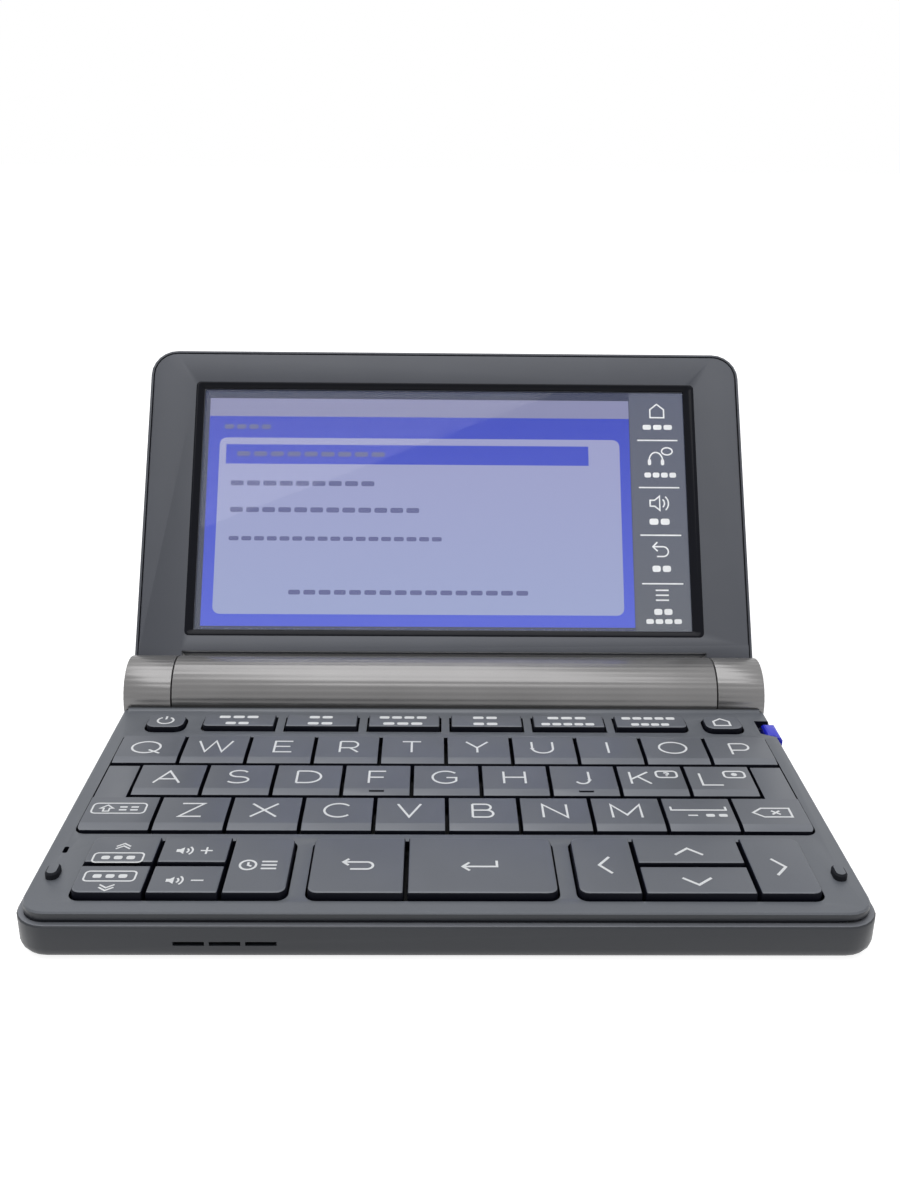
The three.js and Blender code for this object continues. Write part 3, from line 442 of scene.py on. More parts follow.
def printed(name, place, body, material, lines=(), fills=(), weight=0.34, at=(0, 0)):
    """One print: lines are (points, closed) and fills are outlines, in mm about the point at."""
    shape = bmesh.new()

    def spot(u, v, height):
        return place(u + at[0] * mm, v + at[1] * mm, height)
    for step, (points, closed) in enumerate(lines):
        def lifted(u, v, height, rise=step * ink_step):
            return spot(u, v, height + rise)
        add_line(shape, lifted, [(u * mm, v * mm) for u, v in points], weight * mm, closed)
    for outline in fills:
        add_patch(shape, spot, [(u * mm, v * mm) for u, v in outline])
    return add_piece(name, mesh_from(shape, name), body, [material])


def key_print(node, lines=(), fills=(), at=(0, 0), weight=0.34):
    printed(node + "_legend", key_top(node), node, ink_white, lines, fills, weight, at)


def letter_legend(letter):
    node = "key_" + letter
    width = letter_widths[letter]
    low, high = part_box(node)
    left = (letter_shift / mm) + letter_nudges.get(letter, 0) - width / 2
    base = (high.y - low.y) / 2 / mm - (letter_drop + letter_height / 2) / mm - letter_lowered.get(letter, 0)
    lines = []
    for index, line in enumerate(letter_strokes[letter]):
        points = [(left + u * width, base + v * letter_height / mm) for u, v in line]
        lines.append((points, letter in closed_letters and index == 0))
    if letter in marked_letters:
        lines.append((rounded_box(mark_half_width, mark_half_height, mark_corner, mark_centre), True))
        lines += [([(mark_centre[0] + u, mark_centre[1] + v) for u, v in line], False)
                  for line in marked_letters[letter]]
    key_print(node, lines, weight=letter_weight / mm)


# Pictograms, in mm about their own centre

question_mark = [arc((0, 0.3), (0.42, 0.36), 165, -80) + [(0.02, -0.22)], [(0.02, -0.5), (0.02, -0.74)]]
star_mark = [[(0.62 * cos(radians(a)), 0.62 * sin(radians(a))),
              (-0.62 * cos(radians(a)), -0.62 * sin(radians(a)))] for a in (30, 90, 150)]
marked_letters = {"k": question_mark, "l": star_mark}


def dashes(width, height, count, centre=(0, 0), gap=0.32):
    """A label's place, held by a row of plain dashes."""
    pitch = width / count
    return [rounded_box(pitch * (1 - gap) / 2, height / 2, height * 0.3,
                        (centre[0] - width / 2 + (index + 0.5) * pitch, centre[1]), 2)
            for index in range(count)]


def chevron(width, height, turn, centre=(0, 0)):
    """Two strokes that meet in a point. turn is 0 for up, 90 for left, 180 for down and 270 for right."""
    across, down = cos(radians(turn)), sin(radians(turn))
    corners = [(-width / 2, -height / 2), (0, height / 2), (width / 2, -height / 2)]
    return [(centre[0] + u * across - v * down, centre[1] + u * down + v * across) for u, v in corners]


def house(half, high):
    """An upright pentagon: four walls' ends and the ridge."""
    eaves = high * 0.1
    return [(-half, -high / 2), (-half, eaves), (0, high / 2), (half, eaves), (half, -high / 2)]


def speaker_body(left, size):
    return [(left, 0.42 * size), (left, -0.42 * size), (left + 0.62 * size, -0.42 * size),
            (left + 1.3 * size, -size), (left + 1.3 * size, size), (left + 0.62 * size, 0.42 * size)]


def sound_waves(left, radii):
    return [(arc((left, 0), (radius, radius), 48, -48, 8), False) for radius in radii]


def return_arrow(width, height, head):
    """A hook that comes back as an arrow to the left."""
    radius = height / 2
    hook = [(-width / 2, radius)] + arc((width / 2 - radius, 0), (radius, radius), 90, -90, 12)
    hook.append((-width / 4, -radius))
    point = [(-width / 2 + head, radius + head), (-width / 2, radius), (-width / 2 + head, radius - head)]
    return [(hook, False), (point, False)]


def volume_lines(louder):
    lines = sound_waves(-1.75, (0.85, 1.6)) + [([(1.3, 0), (3.5, 0)], False)]
    return lines + ([([(2.4, 1.1), (2.4, -1.1)], False)] if louder else [])


def key_prints():
    """Pictograms and plain dashes where the keys carry words."""
    key_print("shift_key", [(rounded_box(5.2, 1.85, 0.9), True), (shift_arrow, True)],
              dashes(4.4, 0.5, 2, (1.9, 0.45)) + dashes(4.4, 0.5, 2, (1.9, -0.6)), (-0.4, -4.83))
    key_print("space_key", [([(-5.4, 0.9), (-5.4, -0.35), (5.4, -0.35), (5.4, 0.9)], False),
                            ([(-2.4, -2.3), (-0.5, -2.3)], False)],
              dashes(5.0, 1.0, 2, (3.2, -2.3)), (0, 1.9), 0.42)
    key_print("delete_key", [(erase_tag, True), ([(-0.1, 0.65), (1.5, -0.65)], False),
                             ([(1.5, 0.65), (-0.1, -0.65)], False)], (), (0.2, -5.85), 0.42)
    for node, turn, label, marks in (("previous_key", 0, -2.6, (0.7, 1.5)),
                                     ("next_key", 180, 0.96, (-2.1, -2.9))):
        lines = [(rounded_box(4.5, 1.5, 0.75, (-0.3, label)), True)]
        lines += [(chevron(2.6, 0.95, turn, (-0.15, mark)), False) for mark in marks]
        key_print(node, lines, dashes(6.8, 1.1, 3, (-0.3, label)))
    for node, louder in (("volume_up_key", True), ("volume_down_key", False)):
        key_print(node, volume_lines(louder), [speaker_body(-3.1, 1.05)], (-0.25, -0.3), 0.36)
    key_print("history_key", [(arc((-1.9, 0), (1.45, 1.45), 0, 345, 24), True),
                              ([(-1.9, 0.85), (-1.9, -0.05), (-1.25, -0.4)], False)],
              dashes(2.8, 0.44, 1, (1.9, 1.1), 0) + dashes(2.8, 0.44, 1, (1.9, 0), 0)
              + dashes(2.8, 0.44, 1, (1.9, -1.1), 0), (-0.2, -0.2), 0.42)
    key_print("back_key", return_arrow(5.4, 2.2, 1.0), (), (0.06, -0.3), 0.46)
    key_print("enter_key", [([(3.2, 1.5), (3.2, -0.35), (-3.0, -0.35)], False),
                            ([(-1.75, 0.9), (-3.0, -0.35), (-1.75, -1.6)], False)], (), (-0.4, -0.2), 0.46)
    for node, turn, centre in (("left_key", 90, (0, 0)), ("up_key", 0, (0, -0.3)),
                               ("down_key", 180, (-0.05, -0.35)), ("right_key", 270, (-0.2, -0.5))):
        key_print(node, [(chevron(5.15, 2.1, turn), False)], (), centre, 0.5)
    key_print("power_key", [(arc((0, 0), (1.75, 1.55), 122, 418, 24), False), ([(0, 0.5), (0, 2.0)], False)],
              (), (-0.15, 0.1), 0.44)
    key_print("home_key", [(house(1.75, 3.3), True)], (), (-0.3, 0.25), 0.46)
    labels = ((9.4, 3, 5.7, 2), (5.8, 2, 6.1, 2), (11.2, 4, 9.4, 3),
              (6, 2, 6, 2), (9.3, 3, 12.4, 5), (12.6, 5, 9.0, 4))
    for number, (upper, upper_count, lower, lower_count) in enumerate(labels, 1):
        key_print(f"function_key_{number}", (), dashes(upper, 1.15, upper_count, (-0.3, 1.65), 0.2)
                  + dashes(lower, 1.15, lower_count, (-0.3, -1.35), 0.2))


shift_arrow = [(-2.4, 1.15), (-1.15, 0), (-1.85, 0), (-1.85, -1.1), (-2.95, -1.1), (-2.95, 0), (-3.65, 0)]
erase_tag = [(-3.8, 0), (-1.9, 1.6), (3.6, 1.6), (3.6, -1.6), (-1.9, -1.6)]


# Keys

letters = "qwertyuiopasdfghjklzxcvbnm"
key_edge = 0.16 * mm
flute_edge = 0.05 * mm
wall_tilt = 0.8
tactile_rise = 0.2 * mm
band_slope = 0.06


def key_faces(centre, normal):
    """Near-black walls and edge chamfers, which are the keys' own dark body with painted shade added on the
    chamfers; a top; and the band along a key's front, which slopes a little and carries a painted highlight in a
    lighter copy of the key paint.
    """
    if normal.z < wall_tilt:
        return 1
    return 2 if normal.y < -band_slope else 0


def make_keys():
    for name, nodes in frame["record"]["behaviour"]["bodies"].items():
        node = nodes[0]
        if node.endswith("_key") or node.startswith(("key_", "function_key")):
            softened(node, node + "_cap", [key_paint, dark_wall_and_shade, key_band_highlight],
                     key_edge, key_faces, True)
    for letter in letters:
        letter_legend(letter)
    key_prints()


# Base

key_travel = 0.8 * mm
dome_edge = 0.1 * mm
dome_clearance = 0.02 * mm
deck_low, deck_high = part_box("keyboard_deck")
bumper_height = 1.3 * mm
deck_top = deck_high.z - bumper_height
case_edge = 0.2 * mm
foot_height = 0.3 * mm
rim_low = 7.26 * mm
shadow_strip_slack = 0.01 * mm
shadow_strip_inset = 0.12
shadow_strip_width = 0.6
groove_side = 71.3
border = 0.9 * mm
deck_corner = 4.4 * mm
bumper_reach = 20 * mm
side_skin = 0.7 * mm
bumper_foot = 0.03 * mm
flat_top = 0.9
steep = 0.3
barrel_low = 0.65 * mm
cell_radius = 7.1 * mm
cell_edge = 0.3 * mm
bare_ring = 0.5 * mm
facing_along = 0.5
sleeve_end = 1.6 * mm
board_thickness = 1.6 * mm
board_edge = 0.1 * mm
board_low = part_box("main_board")[1].z - board_thickness
stylus_head = 9.5 * mm
stylus_edge = 0.15 * mm
stylus_head_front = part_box("stylus")[1].y - stylus_head


def make_dome_sheet():
    """The rubber sheet. Its domes end where a fully pressed key comes to rest."""
    sheet = softened("keypad_sheet", "dome_sheet", [dome_rubber], dome_edge)
    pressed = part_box("key_q")[0].z - key_travel
    for vertex in sheet.data.vertices:
        vertex.co.z = min(vertex.co.z, pressed - dome_clearance)


def make_shadow_strip():
    """A dark strip of painted shade fills the shadow gap under the deck. It keeps clear of the stylus's groove."""
    low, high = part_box("bottom_case")[1].z + shadow_strip_slack, deck_low.z - shadow_strip_slack
    left = deck_low.x / mm + shadow_strip_inset
    near, far = deck_low.y / mm + shadow_strip_inset, deck_high.y / mm - shadow_strip_inset
    rings = []
    shape = bmesh.new()
    for inset, height in ((0, low), (0, high), (shadow_strip_width, high), (shadow_strip_width, low)):
        outline = rounded_box((groove_side - left) / 2 - inset, (far - near) / 2 - inset,
                              deck_corner / mm - inset, ((left + groove_side) / 2, (near + far) / 2), 6)
        rings.append([shape.verts.new((x * mm, y * mm, height)) for x, y in outline])
    join_rings(shape, zip(rings, rings[1:] + rings[:1]))
    add_piece("deck_shadow_strip", mesh_from(shape, "deck_shadow_strip"), "base", [rubber_and_shade])


def deck_faces(centre, normal):
    """The bumpers' tops take the deck's paint and their sides are black, painted light and shade on one rubber
    part. The walls of the key openings are black as painted shade, and the outer sides dark grey as painted shade.
    """
    # Painted light and shade: the bumpers' tops take the deck's paint and their sides are black.
    if centre.z > deck_top + bumper_foot and centre.y < deck_low.y + bumper_reach:
        return 0 if normal.z > flat_top else 1
    inside = in_rounded(centre, deck_low, deck_high, deck_corner)
    # Painted shade: the walls of the key openings.
    if inside < -border and normal.z < wall_tilt:
        return 2
    # Painted shade: the deck's outer sides take the darker case paint.
    return 3 if inside > -side_skin and normal.z < steep else 0


def case_faces(centre, normal):
    """Rubber feet, and a painted highlight: a lighter paint on the rim's upward faces under the deck."""
    if centre.z < foot_height - merge_distance * 5:
        return 1
    return 2 if centre.z > rim_low and normal.z > steep else 0


def barrel_faces(centre, normal):
    return 1 if centre.z < barrel_low else 0


def stylus_faces(centre, normal):
    return 0 if centre.y > stylus_head_front else 1


def board_faces(centre, normal):
    """The loudspeaker hangs under the board."""
    return 1 if centre.z < board_low else 0


def cell_faces(centre, normal):
    """Bare metal at each cell's ends, and a printed sleeve between them."""
    off_axis = sqrt((centre.y - axis_y) ** 2 + (centre.z - axis_z) ** 2)
    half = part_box("aa_batteries")[1].x
    along = (centre.x + half) % half
    bare = off_axis < cell_radius - bare_ring or abs(normal.x) > facing_along
    return 0 if bare or not sleeve_end < along < half - 2 * sleeve_end else 1


def make_base():
    softened("keyboard_deck", "deck_plate", [deck_paint, rubber_and_shade, dark_wall_and_shade, case_paint],
             case_edge, deck_faces)
    softened("bottom_case", "case_tray", [case_paint, rubber_and_shade, ledge_highlight],
             case_edge, case_faces)
    softened("hinge_barrel", "barrel_middle", [barrel_paint, rubber_and_shade],
             flute_edge, barrel_faces)
    softened("battery_cover", "battery_door", [case_paint], case_edge)
    softened("stylus", "stylus_pen", [stylus_blue, stylus_dark], stylus_edge, stylus_faces)
    softened("aa_batteries", "battery_cells", [cell_metal, cell_sleeve], cell_edge, cell_faces)
    softened("main_board", "circuit_board", [board_green, speaker_black],
             board_edge, board_faces)
    make_dome_sheet()
    make_shadow_strip()


# What repeats, grown by Geometry Nodes

def growth(name, sizes):
    """A node tree with a geometry input and one named input for each size."""
    tree = bpy.data.node_groups.new(name, "GeometryNodeTree")
    tree.interface.new_socket("Geometry", in_out="INPUT", socket_type="NodeSocketGeometry")
    tree.interface.new_socket("Geometry", in_out="OUTPUT", socket_type="NodeSocketGeometry")
    for size, kind in sizes.items():
        tree.interface.new_socket(size, in_out="INPUT", socket_type=kind)
    return tree, tree.nodes.new("NodeGroupInput"), tree.nodes.new("NodeGroupOutput")


def grown(name, tree, values, points, body):
    """The tree's result on those points, as a plain mesh that rides on the body."""
    seeds = bpy.data.meshes.new(name + "_seeds")
    seeds.from_pydata(points, [], [])
    carrier = bpy.data.objects.new(name + "_seeds", seeds)
    bpy.context.scene.collection.objects.link(carrier)
    growing = carrier.modifiers.new("growth", "NODES")
    growing.node_group = tree
    for item in tree.interface.items_tree:
        if item.item_type == "SOCKET" and item.in_out == "INPUT" and item.name in values:
            growing[item.identifier] = values[item.name]
    graph = bpy.context.evaluated_depsgraph_get()
    mesh = bpy.data.meshes.new_from_object(carrier.evaluated_get(graph), depsgraph=graph)
    carrier.modifiers.remove(growing)
    bpy.data.objects.remove(carrier)
    mesh.name = name
    return add_piece(name, mesh, body, [])


def painted(tree, source, material):
    paint = tree.nodes.new("GeometryNodeSetMaterial")
    paint.inputs["Material"].default_value = material
    tree.links.new(source, paint.inputs["Geometry"])
    return paint.outputs["Geometry"]


def on_points(tree, points, shape):
    """The shape on each point, made real."""
    place = tree.nodes.new("GeometryNodeInstanceOnPoints")
    tree.links.new(points, place.inputs["Points"])
    tree.links.new(shape, place.inputs["Instance"])
    real = tree.nodes.new("GeometryNodeRealizeInstances")
    tree.links.new(place.outputs["Instances"], real.inputs["Geometry"])
    return real.outputs["Geometry"]


def cross_of(tree, length, width, depth):
    """Two bars across each other."""
    bars = []
    for turn in (0, pi / 2):
        size = tree.nodes.new("ShaderNodeCombineXYZ")
        tree.links.new(length, size.inputs["X"])
        tree.links.new(width, size.inputs["Y"])
        tree.links.new(depth, size.inputs["Z"])
        bar = tree.nodes.new("GeometryNodeMeshCube")
        tree.links.new(size.outputs["Vector"], bar.inputs["Size"])
        turned = tree.nodes.new("GeometryNodeTransform")
        turned.inputs["Rotation"].default_value = (0, 0, turn)
        tree.links.new(bar.outputs["Mesh"], turned.inputs["Geometry"])
        bars.append(turned.outputs["Geometry"])
    return bars


def screw_tree():
    """A pan head with a cross recess, seen from below."""
    tree, given, result = growth("case_screw", {
        "Head Radius": "NodeSocketFloat", "Head Height": "NodeSocketFloat",
        "Recess Length": "NodeSocketFloat", "Recess Width": "NodeSocketFloat",
        "Recess Depth": "NodeSocketFloat"})
    head = tree.nodes.new("GeometryNodeMeshCone")
    head.inputs["Vertices"].default_value = 40
    tree.links.new(given.outputs["Head Radius"], head.inputs["Radius Bottom"])
    shoulder = tree.nodes.new("ShaderNodeMath")
    shoulder.operation = "MULTIPLY"
    shoulder.inputs[1].default_value = screw_flare
    tree.links.new(given.outputs["Head Radius"], shoulder.inputs[0])
    tree.links.new(shoulder.outputs[0], head.inputs["Radius Top"])
    tree.links.new(given.outputs["Head Height"], head.inputs["Depth"])
    cut = tree.nodes.new("GeometryNodeMeshBoolean")
    cut.operation = "DIFFERENCE"
    tree.links.new(head.outputs["Mesh"], cut.inputs["Mesh 1"])
    sockets = [given.outputs[name] for name in ("Recess Length", "Recess Width", "Recess Depth")]
    for bar in cross_of(tree, *sockets):
        tree.links.new(bar, cut.inputs["Mesh 2"])
    screws = on_points(tree, given.outputs["Geometry"], cut.outputs["Mesh"])
    tree.links.new(painted(tree, screws, plated), result.inputs["Geometry"])
    return tree


def spring_tree():
    """A conical contact spring along X."""
    tree, given, result = growth("contact_spring", {
        "Turns": "NodeSocketFloat", "Near Radius": "NodeSocketFloat", "Far Radius": "NodeSocketFloat",
        "Length": "NodeSocketFloat", "Wire Radius": "NodeSocketFloat"})
    coil = tree.nodes.new("GeometryNodeCurveSpiral")
    coil.inputs["Resolution"].default_value = 28
    tree.links.new(given.outputs["Turns"], coil.inputs["Rotations"])
    tree.links.new(given.outputs["Near Radius"], coil.inputs["Start Radius"])
    tree.links.new(given.outputs["Far Radius"], coil.inputs["End Radius"])
    tree.links.new(given.outputs["Length"], coil.inputs["Height"])
    wire = tree.nodes.new("GeometryNodeCurvePrimitiveCircle")
    wire.inputs["Resolution"].default_value = 10
    tree.links.new(given.outputs["Wire Radius"], wire.inputs["Radius"])
    sweep = tree.nodes.new("GeometryNodeCurveToMesh")
    sweep.inputs["Fill Caps"].default_value = True
    tree.links.new(coil.outputs["Curve"], sweep.inputs["Curve"])
    tree.links.new(wire.outputs["Curve"], sweep.inputs["Profile Curve"])
    lying = tree.nodes.new("GeometryNodeTransform")
    lying.inputs["Rotation"].default_value = (0, pi / 2, 0)
    tree.links.new(sweep.outputs["Mesh"], lying.inputs["Geometry"])
    springs = on_points(tree, given.outputs["Geometry"], lying.outputs["Geometry"])
    tree.links.new(painted(tree, springs, plated), result.inputs["Geometry"])
    return tree


def rib_tree():
    """A round-backed finger rib along X."""
    tree, given, result = growth("finger_rib", {
        "Rib Start": "NodeSocketVector", "Rib End": "NodeSocketVector", "Rib Radius": "NodeSocketFloat"})
    line = tree.nodes.new("GeometryNodeCurvePrimitiveLine")
    tree.links.new(given.outputs["Rib Start"], line.inputs["Start"])
    tree.links.new(given.outputs["Rib End"], line.inputs["End"])
    round_back = tree.nodes.new("GeometryNodeCurvePrimitiveCircle")
    round_back.inputs["Resolution"].default_value = 14
    tree.links.new(given.outputs["Rib Radius"], round_back.inputs["Radius"])
    sweep = tree.nodes.new("GeometryNodeCurveToMesh")
    sweep.inputs["Fill Caps"].default_value = True
    tree.links.new(line.outputs["Curve"], sweep.inputs["Curve"])
    tree.links.new(round_back.outputs["Curve"], sweep.inputs["Profile Curve"])
    ribs = on_points(tree, given.outputs["Geometry"], sweep.outputs["Mesh"])
    tree.links.new(painted(tree, ribs, case_paint), result.inputs["Geometry"])
    return tree


screw_across = 62 * mm
screw_rows = (-42.74 * mm, -2.65 * mm)
screw_radius = 1.55 * mm
screw_height = 0.36 * mm
screw_flare = 1.12
recess_length = 1.9 * mm
recess_width = 0.42 * mm
recess_depth = 0.3 * mm
rib_count = 7
rib_pitch = 1.5 * mm
rib_half = 7 * mm
rib_radius = 0.22 * mm
ribs_before_axis = 3 * mm
rib_sunk = 0.08 * mm
spring_length = 2.2 * mm
spring_turns = 3.0
spring_tip = 2.0 * mm
spring_foot = 4.2 * mm
spring_gap = 0.4 * mm
wire_radius = 0.3 * mm
contact_profile = ((4.2, 1.5), (4.2, 1.2), (2.4, 1.2), (1.8, 0.55), (0.8, 0.35))
contact_corner = 2.3


def make_fittings():
    """Case screws, the battery door's ribs and the battery contacts."""
    case_low = foot_height
    screws = [(side * screw_across, row, case_low) for side in (-1, 1) for row in screw_rows]
    grown("case_screws", screw_tree(), {
        "Head Radius": screw_radius, "Head Height": screw_height, "Recess Length": recess_length,
        "Recess Width": recess_width, "Recess Depth": recess_depth}, screws, "base")
    door_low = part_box("battery_cover")[0]
    ribs = [(0, axis_y - (rib_count - 1 - 2 * index) / 2 * rib_pitch - ribs_before_axis,
             door_low.z + rib_sunk) for index in range(rib_count)]
    grown("door_ribs", rib_tree(), {
        "Rib Start": (-rib_half, 0, 0), "Rib End": (rib_half, 0, 0), "Rib Radius": rib_radius},
        ribs, "battery_cover")
    cell_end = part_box("aa_batteries")[1].x
    grown("contact_spring", spring_tree(), {
        "Turns": spring_turns, "Near Radius": spring_tip, "Far Radius": spring_foot,
        "Length": -spring_length, "Wire Radius": wire_radius},
        [(-cell_end - spring_gap, axis_y, axis_z)], "base")
    make_contact_plate(cell_end)


def make_contact_plate(cell_end):
    """The flat contact that meets the cells' tip. Its profile has half widths and places along X, in mm."""
    shape = bmesh.new()
    rings = []
    for half, out in contact_profile:
        corner = min(half, contact_corner) * 0.99 * mm
        outline = rounded_box(half * mm, half * mm, corner, (axis_y, axis_z), 6)
        rings.append([shape.verts.new((cell_end + out * mm, y, z)) for y, z in outline])
    join_rings(shape, zip(rings, rings[1:]))
    shape.faces.new(rings[0])
    shape.faces.new(rings[-1])
    add_piece("contact_plate", mesh_from(shape, "contact_plate"), "base", [plated])


# Lid

knuckle_radius = 8.8 * mm
drum_skin = 0.05 * mm
hinge_wall = 12 * mm
bevel_side = 2.1 * mm
rim_right_share = 1.3
bevel_end = 1.7 * mm
seam = 0.3 * mm
bezel_edge = 0.15 * mm
turned_back = 0.3
turned_in = 0.3
turned_down = 0.5
window_corner = 1.1 * mm
corner_ease = 0.4
least_corner = 0.3 * mm


def lid_faces(centre, normal):
    """Silver hinge ends, painted shade on the walls behind the bezel's seam and over the barrel, and a grey shell.
    """
    off_axis = sqrt((centre.y - axis_y) ** 2 + (centre.z - axis_z) ** 2)
    from_axis = centre - Vector((0, axis_y, axis_z))
    along, lift = from_axis.dot(lid_along), from_axis.dot(lid_away)
    if off_axis < knuckle_radius + drum_skin and (lift < bezel_back or off_axis < knuckle_radius):
        return 1
    behind_seam = lift < bezel_back + seam and normal.dot(lid_away) > -turned_back
    if behind_seam and normal.x * centre.x < -turned_in * abs(centre.x):
        return 2
    at_hinge = along < hinge_wall and normal.dot(lid_along) < -turned_down
    return 2 if at_hinge and abs(centre.x) < glass_half + bevel_side else 0


def rim_profile():
    """The rim across: distance in from the window's edge, and lift, in mm."""
    return [(0.0, 0.15), (0.0, -0.02), (0.12, -0.1), (0.4, -0.12), (0.7, -0.06), (1.75, 0.62), (1.95, 0.75),
            (2.02, 1.1), (1.2, 1.1), (0.05, 0.2)]


def make_rim():
    window_half = glass_half + bevel_side + seam
    far, near = glass_far + bevel_end + seam, glass_near - bevel_end - seam
    shape = bmesh.new()
    rings = []
    for inward, down in rim_profile():
        shrink = inward * mm
        end = shrink * bevel_end / bevel_side
        radius = max(window_corner - shrink * corner_ease, least_corner)
        left, right = -window_half + shrink, window_half - shrink * rim_right_share
        middle = ((left + right) / 2, (far + near) / 2)
        outline = rounded_box((right - left) / 2, (far - near) / 2 - end, radius, middle, 6)
        rings.append([shape.verts.new(on_lid(u, v, bezel_lift + down * mm)) for u, v in outline])
    join_rings(shape, zip(rings, rings[1:] + rings[:1]))
    add_piece("window_rim", mesh_from(shape, "window_rim", True), "lid", [rim_black])


layer = 0.03 * mm
print_share = 0.5


def panel_place(level):
    """The (u, v, height) map of the display's plane. level counts thin layers in front of the panel."""
    def place(u, v, height):
        return on_lid(u, v, panel_lift - level * layer - height * print_share)
    return place


def tile(name, left, right, near, far, level, material, radius=0.0):
    """A flat lit or dark patch of the display."""
    centre = ((left + right) / 2, (near + far) / 2)
    outline = rounded_box((right - left) / 2, (far - near) / 2, max(radius, 0.01), centre, 6 if radius else 1)
    return printed(name, panel_place(level), "lid", material, (), [outline])


def make_display():
    """The lit page with plain dashes for its text, and the strip beside it that the touch icons sit on."""
    left, right = screen_left / mm, screen_right / mm
    near, far = screen_near / mm, screen_far / mm
    tile("lit_frame", left, right, near, far, 1, blue)
    tile("lit_top_strip", left, right, 70.9, far, 2, pale_strip)
    tile("lit_page", -56.8, 44.0, 19.8, 65.2, 2, lavender, 1.8)
    tile("lit_choice", -55.1, 36.1, 58.3, 63.4, 3, blue)
    # Painted glow on the touch strip.
    tile("touch_strip", right + 0.15, glass_half / mm - 0.2, 15.2, 78.0, 1, strip_glow)
    rows = [dashes(12.4, 1.3, 4, (-49.9, 68.1), 0.22), dashes(38, 1.3, 9, (-33.8, 60.9), 0.2),
            dashes(36.7, 1.3, 9, (-35.7, 53.2), 0.2), dashes(47.8, 1.3, 12, (-30.0, 46.3), 0.2),
            dashes(53.4, 1.1, 17, (-27.2, 38.9), 0.22), dashes(59.7, 1.2, 16, (-9.0, 25.3), 0.22)]
    for number, row in enumerate(rows):
        printed(f"text_row_{number}", panel_place(4), "lid", ink_grey, (), row)
    # Painted glow on the panel's margin.
    frame["nodes"]["lcd_panel"].data.materials.clear()
    frame["nodes"]["lcd_panel"].data.materials.append(margin_glow)
    frame["nodes"]["display_glass"].data.materials.clear()
    frame["nodes"]["display_glass"].data.materials.append(display_glass)


def make_touch_icons():
    def icon(name, centre, lines=(), fills=()):
        printed(name, panel_place(2), "lid", ink_white, lines, fills, 0.36, centre)
    for number, along in enumerate((65.2, 52.7, 40.3, 27.9)):
        icon(f"icon_divider_{number}", (53.7, along), [([(-5.1, 0), (5.1, 0)], False)])
    icon("icon_house", (53.8, 73.1), [(house(1.75, 3.6), True)], dashes(8.0, 1.3, 3, (0, -4.4), 0.2))
    ears = [rounded_box(0.42, 0.8, 0.35, (side * 1.65 - 0.75, -1.3), 3) for side in (-1, 1)]
    band = arc((-0.75, -0.9), (1.7, 2.2), 180, 0, 16)
    icon("icon_headset", (53.9, 60.7), [(band, False), (arc((2.1, 1.6), (1.35, 0.95), 0, 345, 20), True)],
         ears + dashes(8.4, 1.3, 4, (0.2, -4.7), 0.2))
    icon("icon_speaker", (53.7, 48.6), sound_waves(-0.15, (1.35, 2.35)) + [(speaker_body(-2.4, 1.85), True)],
         dashes(5.6, 1.6, 2, (-0.2, -4.8), 0.2))
    icon("icon_return", (53.5, 36.1), return_arrow(3.8, 2.5, 1.15), dashes(5.1, 1.6, 2, (0.1, -4.4), 0.2))
    icon("icon_menu", (53.5, 25.0), [([(-1.6, v), (1.6, v)], False) for v in (-1.25, 0, 1.25)],
         dashes(5.0, 1.5, 2, (0.1, -4.2), 0.2) + dashes(9.2, 1.2, 4, (0.2, -6.6), 0.2))


def make_lid():
    softened("lid_bezel", "lid_front", [lid_paint], bezel_edge)
    softened("lid_back_cover", "lid_shell", [lid_paint, barrel_paint, shade_paint],
             flute_edge, lid_faces)
    make_rim()
    make_display()
    make_touch_icons()


# Stage

camera_place = Vector((-2.97, -238.95, 132.25)) * mm
camera_pitch = radians(21.149)
camera_yaw = radians(0.888)
camera_roll = radians(0.614)
sensor_width = 36
focal_length = 35.56
near_clip = 0.01


def make_camera():
    """The photograph's camera: its place, where it looks and its small tilt."""
    pitch, yaw, roll = camera_pitch, camera_yaw, camera_roll
    ahead = Vector((sin(yaw) * cos(pitch), cos(yaw) * cos(pitch), -sin(pitch)))
    right = ahead.cross(Vector((0, 0, 1))).normalized()
    up = right.cross(ahead)
    tilted_right = right * cos(roll) + up * sin(roll)
    tilted_up = up * cos(roll) - right * sin(roll)
    lens = bpy.data.cameras.new("camera")
    lens.sensor_width = sensor_width
    lens.lens = focal_length
    lens.clip_start = near_clip
    camera = bpy.data.objects.new("camera", lens)
    turn = Matrix((tilted_right, tilted_up, -ahead)).transposed()
    camera.matrix_world = Matrix.Translation(camera_place) @ turn.to_4x4()
    bpy.context.scene.collection.objects.link(camera)
    bpy.context.scene.camera = camera


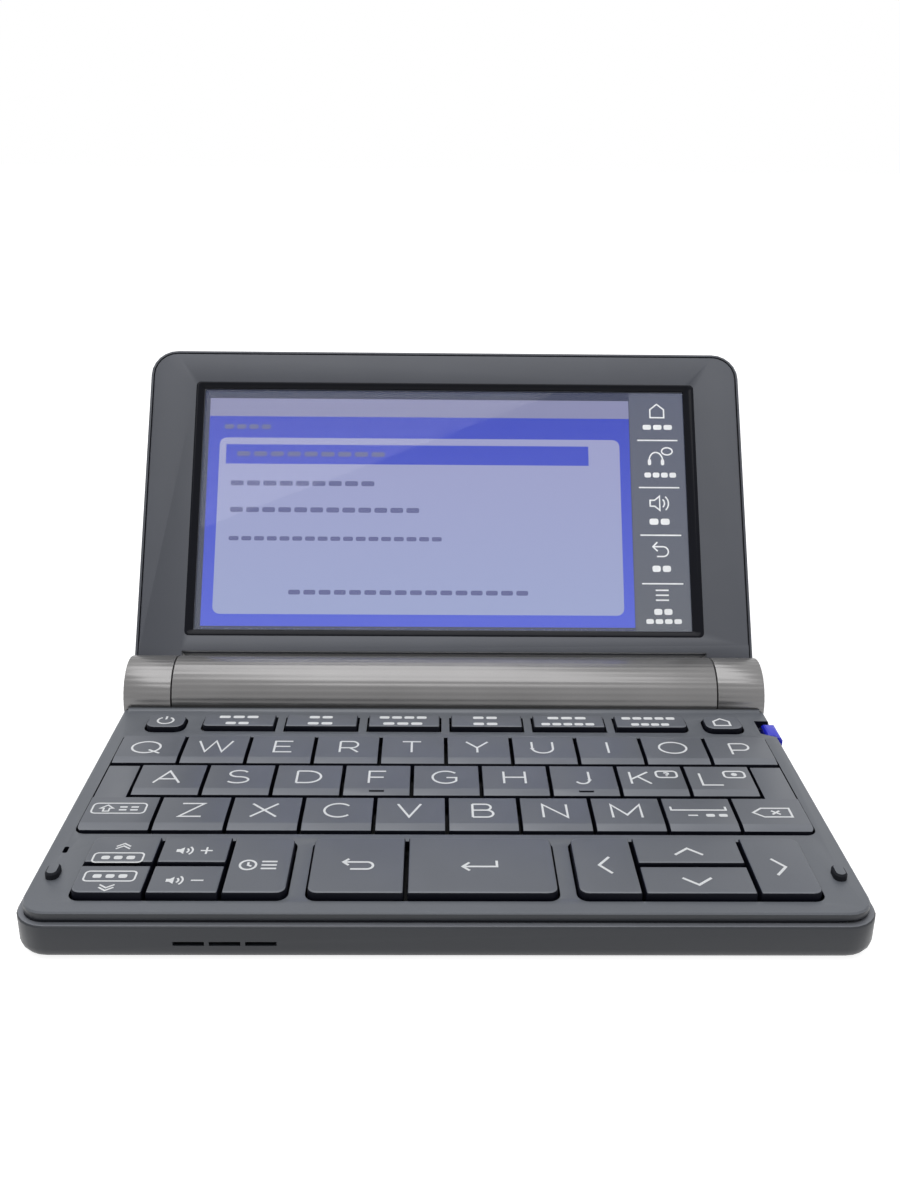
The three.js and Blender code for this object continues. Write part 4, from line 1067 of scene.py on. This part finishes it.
def white_behind(nodes, links, light, seen_as):
    """A strength that is one value for light and another for what the camera, gloss and glass see."""
    path = nodes.new("ShaderNodeLightPath")
    glossy = nodes.new("ShaderNodeMath")
    glossy.operation = "MAXIMUM"
    links.new(path.outputs["Is Camera Ray"], glossy.inputs[0])
    links.new(path.outputs["Is Glossy Ray"], glossy.inputs[1])
    seen = nodes.new("ShaderNodeMath")
    seen.operation = "MAXIMUM"
    links.new(glossy.outputs[0], seen.inputs[0])
    links.new(path.outputs["Is Transmission Ray"], seen.inputs[1])
    strength = nodes.new("ShaderNodeMapRange")
    strength.inputs["To Min"].default_value = light
    strength.inputs["To Max"].default_value = seen_as
    links.new(seen.outputs[0], strength.inputs["Value"])
    return strength.outputs["Result"]


def softbox(name, place, aim, size, power):
    lamp = bpy.data.lights.new(name, "AREA")
    lamp.shape = "RECTANGLE"
    lamp.size, lamp.size_y = size
    lamp.energy = power
    box = bpy.data.objects.new(name, lamp)
    box.matrix_world = (Matrix.Translation(Vector(place))
                        @ (Vector(aim) - Vector(place)).to_track_quat("-Z", "Y").to_matrix().to_4x4())
    bpy.context.scene.collection.objects.link(box)


floor_size = 6
floor_glow = 0.88
floor_white = srgb(205, 205, 205)
sky_light = 0.24
top_power = 9.5
top_place = (-0.1, -0.04, 1.1)
top_size = (1.3, 1.1)


def make_stage():
    shape = bmesh.new()
    corners = [(-1, -1), (1, -1), (1, 1), (-1, 1)]
    shape.faces.new([shape.verts.new((x * floor_size, y * floor_size, 0)) for x, y in corners])
    mesh = bpy.data.meshes.new("floor")
    shape.to_mesh(mesh)
    shape.free()
    floor = bpy.data.objects.new("floor", mesh)
    bpy.context.scene.collection.objects.link(floor)
    material, nodes, links, surface = shader("floor_white")
    surface.inputs["Base Color"].default_value = floor_white
    surface.inputs["Roughness"].default_value = 0.9
    surface.inputs["Specular IOR Level"].default_value = 0.1
    surface.inputs["Emission Color"].default_value = (1, 1, 1, 1)
    glow = white_behind(nodes, links, 0.0, floor_glow)
    links.new(glow, surface.inputs["Emission Strength"])
    mesh.materials.append(material)

    softbox("top_box", top_place, (0, 0, 0), top_size, top_power)

    world = bpy.data.worlds.new("studio")
    bpy.context.scene.world = world
    world.use_nodes = True
    nodes, links = world.node_tree.nodes, world.node_tree.links
    sky = nodes["Background"]
    sky.inputs["Color"].default_value = (1, 1, 1, 1)
    links.new(white_behind(nodes, links, sky_light, 1.0), sky.inputs["Strength"])
    bpy.context.scene.view_settings.view_transform = "Standard"


make_camera()
make_base()
make_fittings()
make_keys()
make_lid()
make_stage()

bpy.context.view_layer.update()
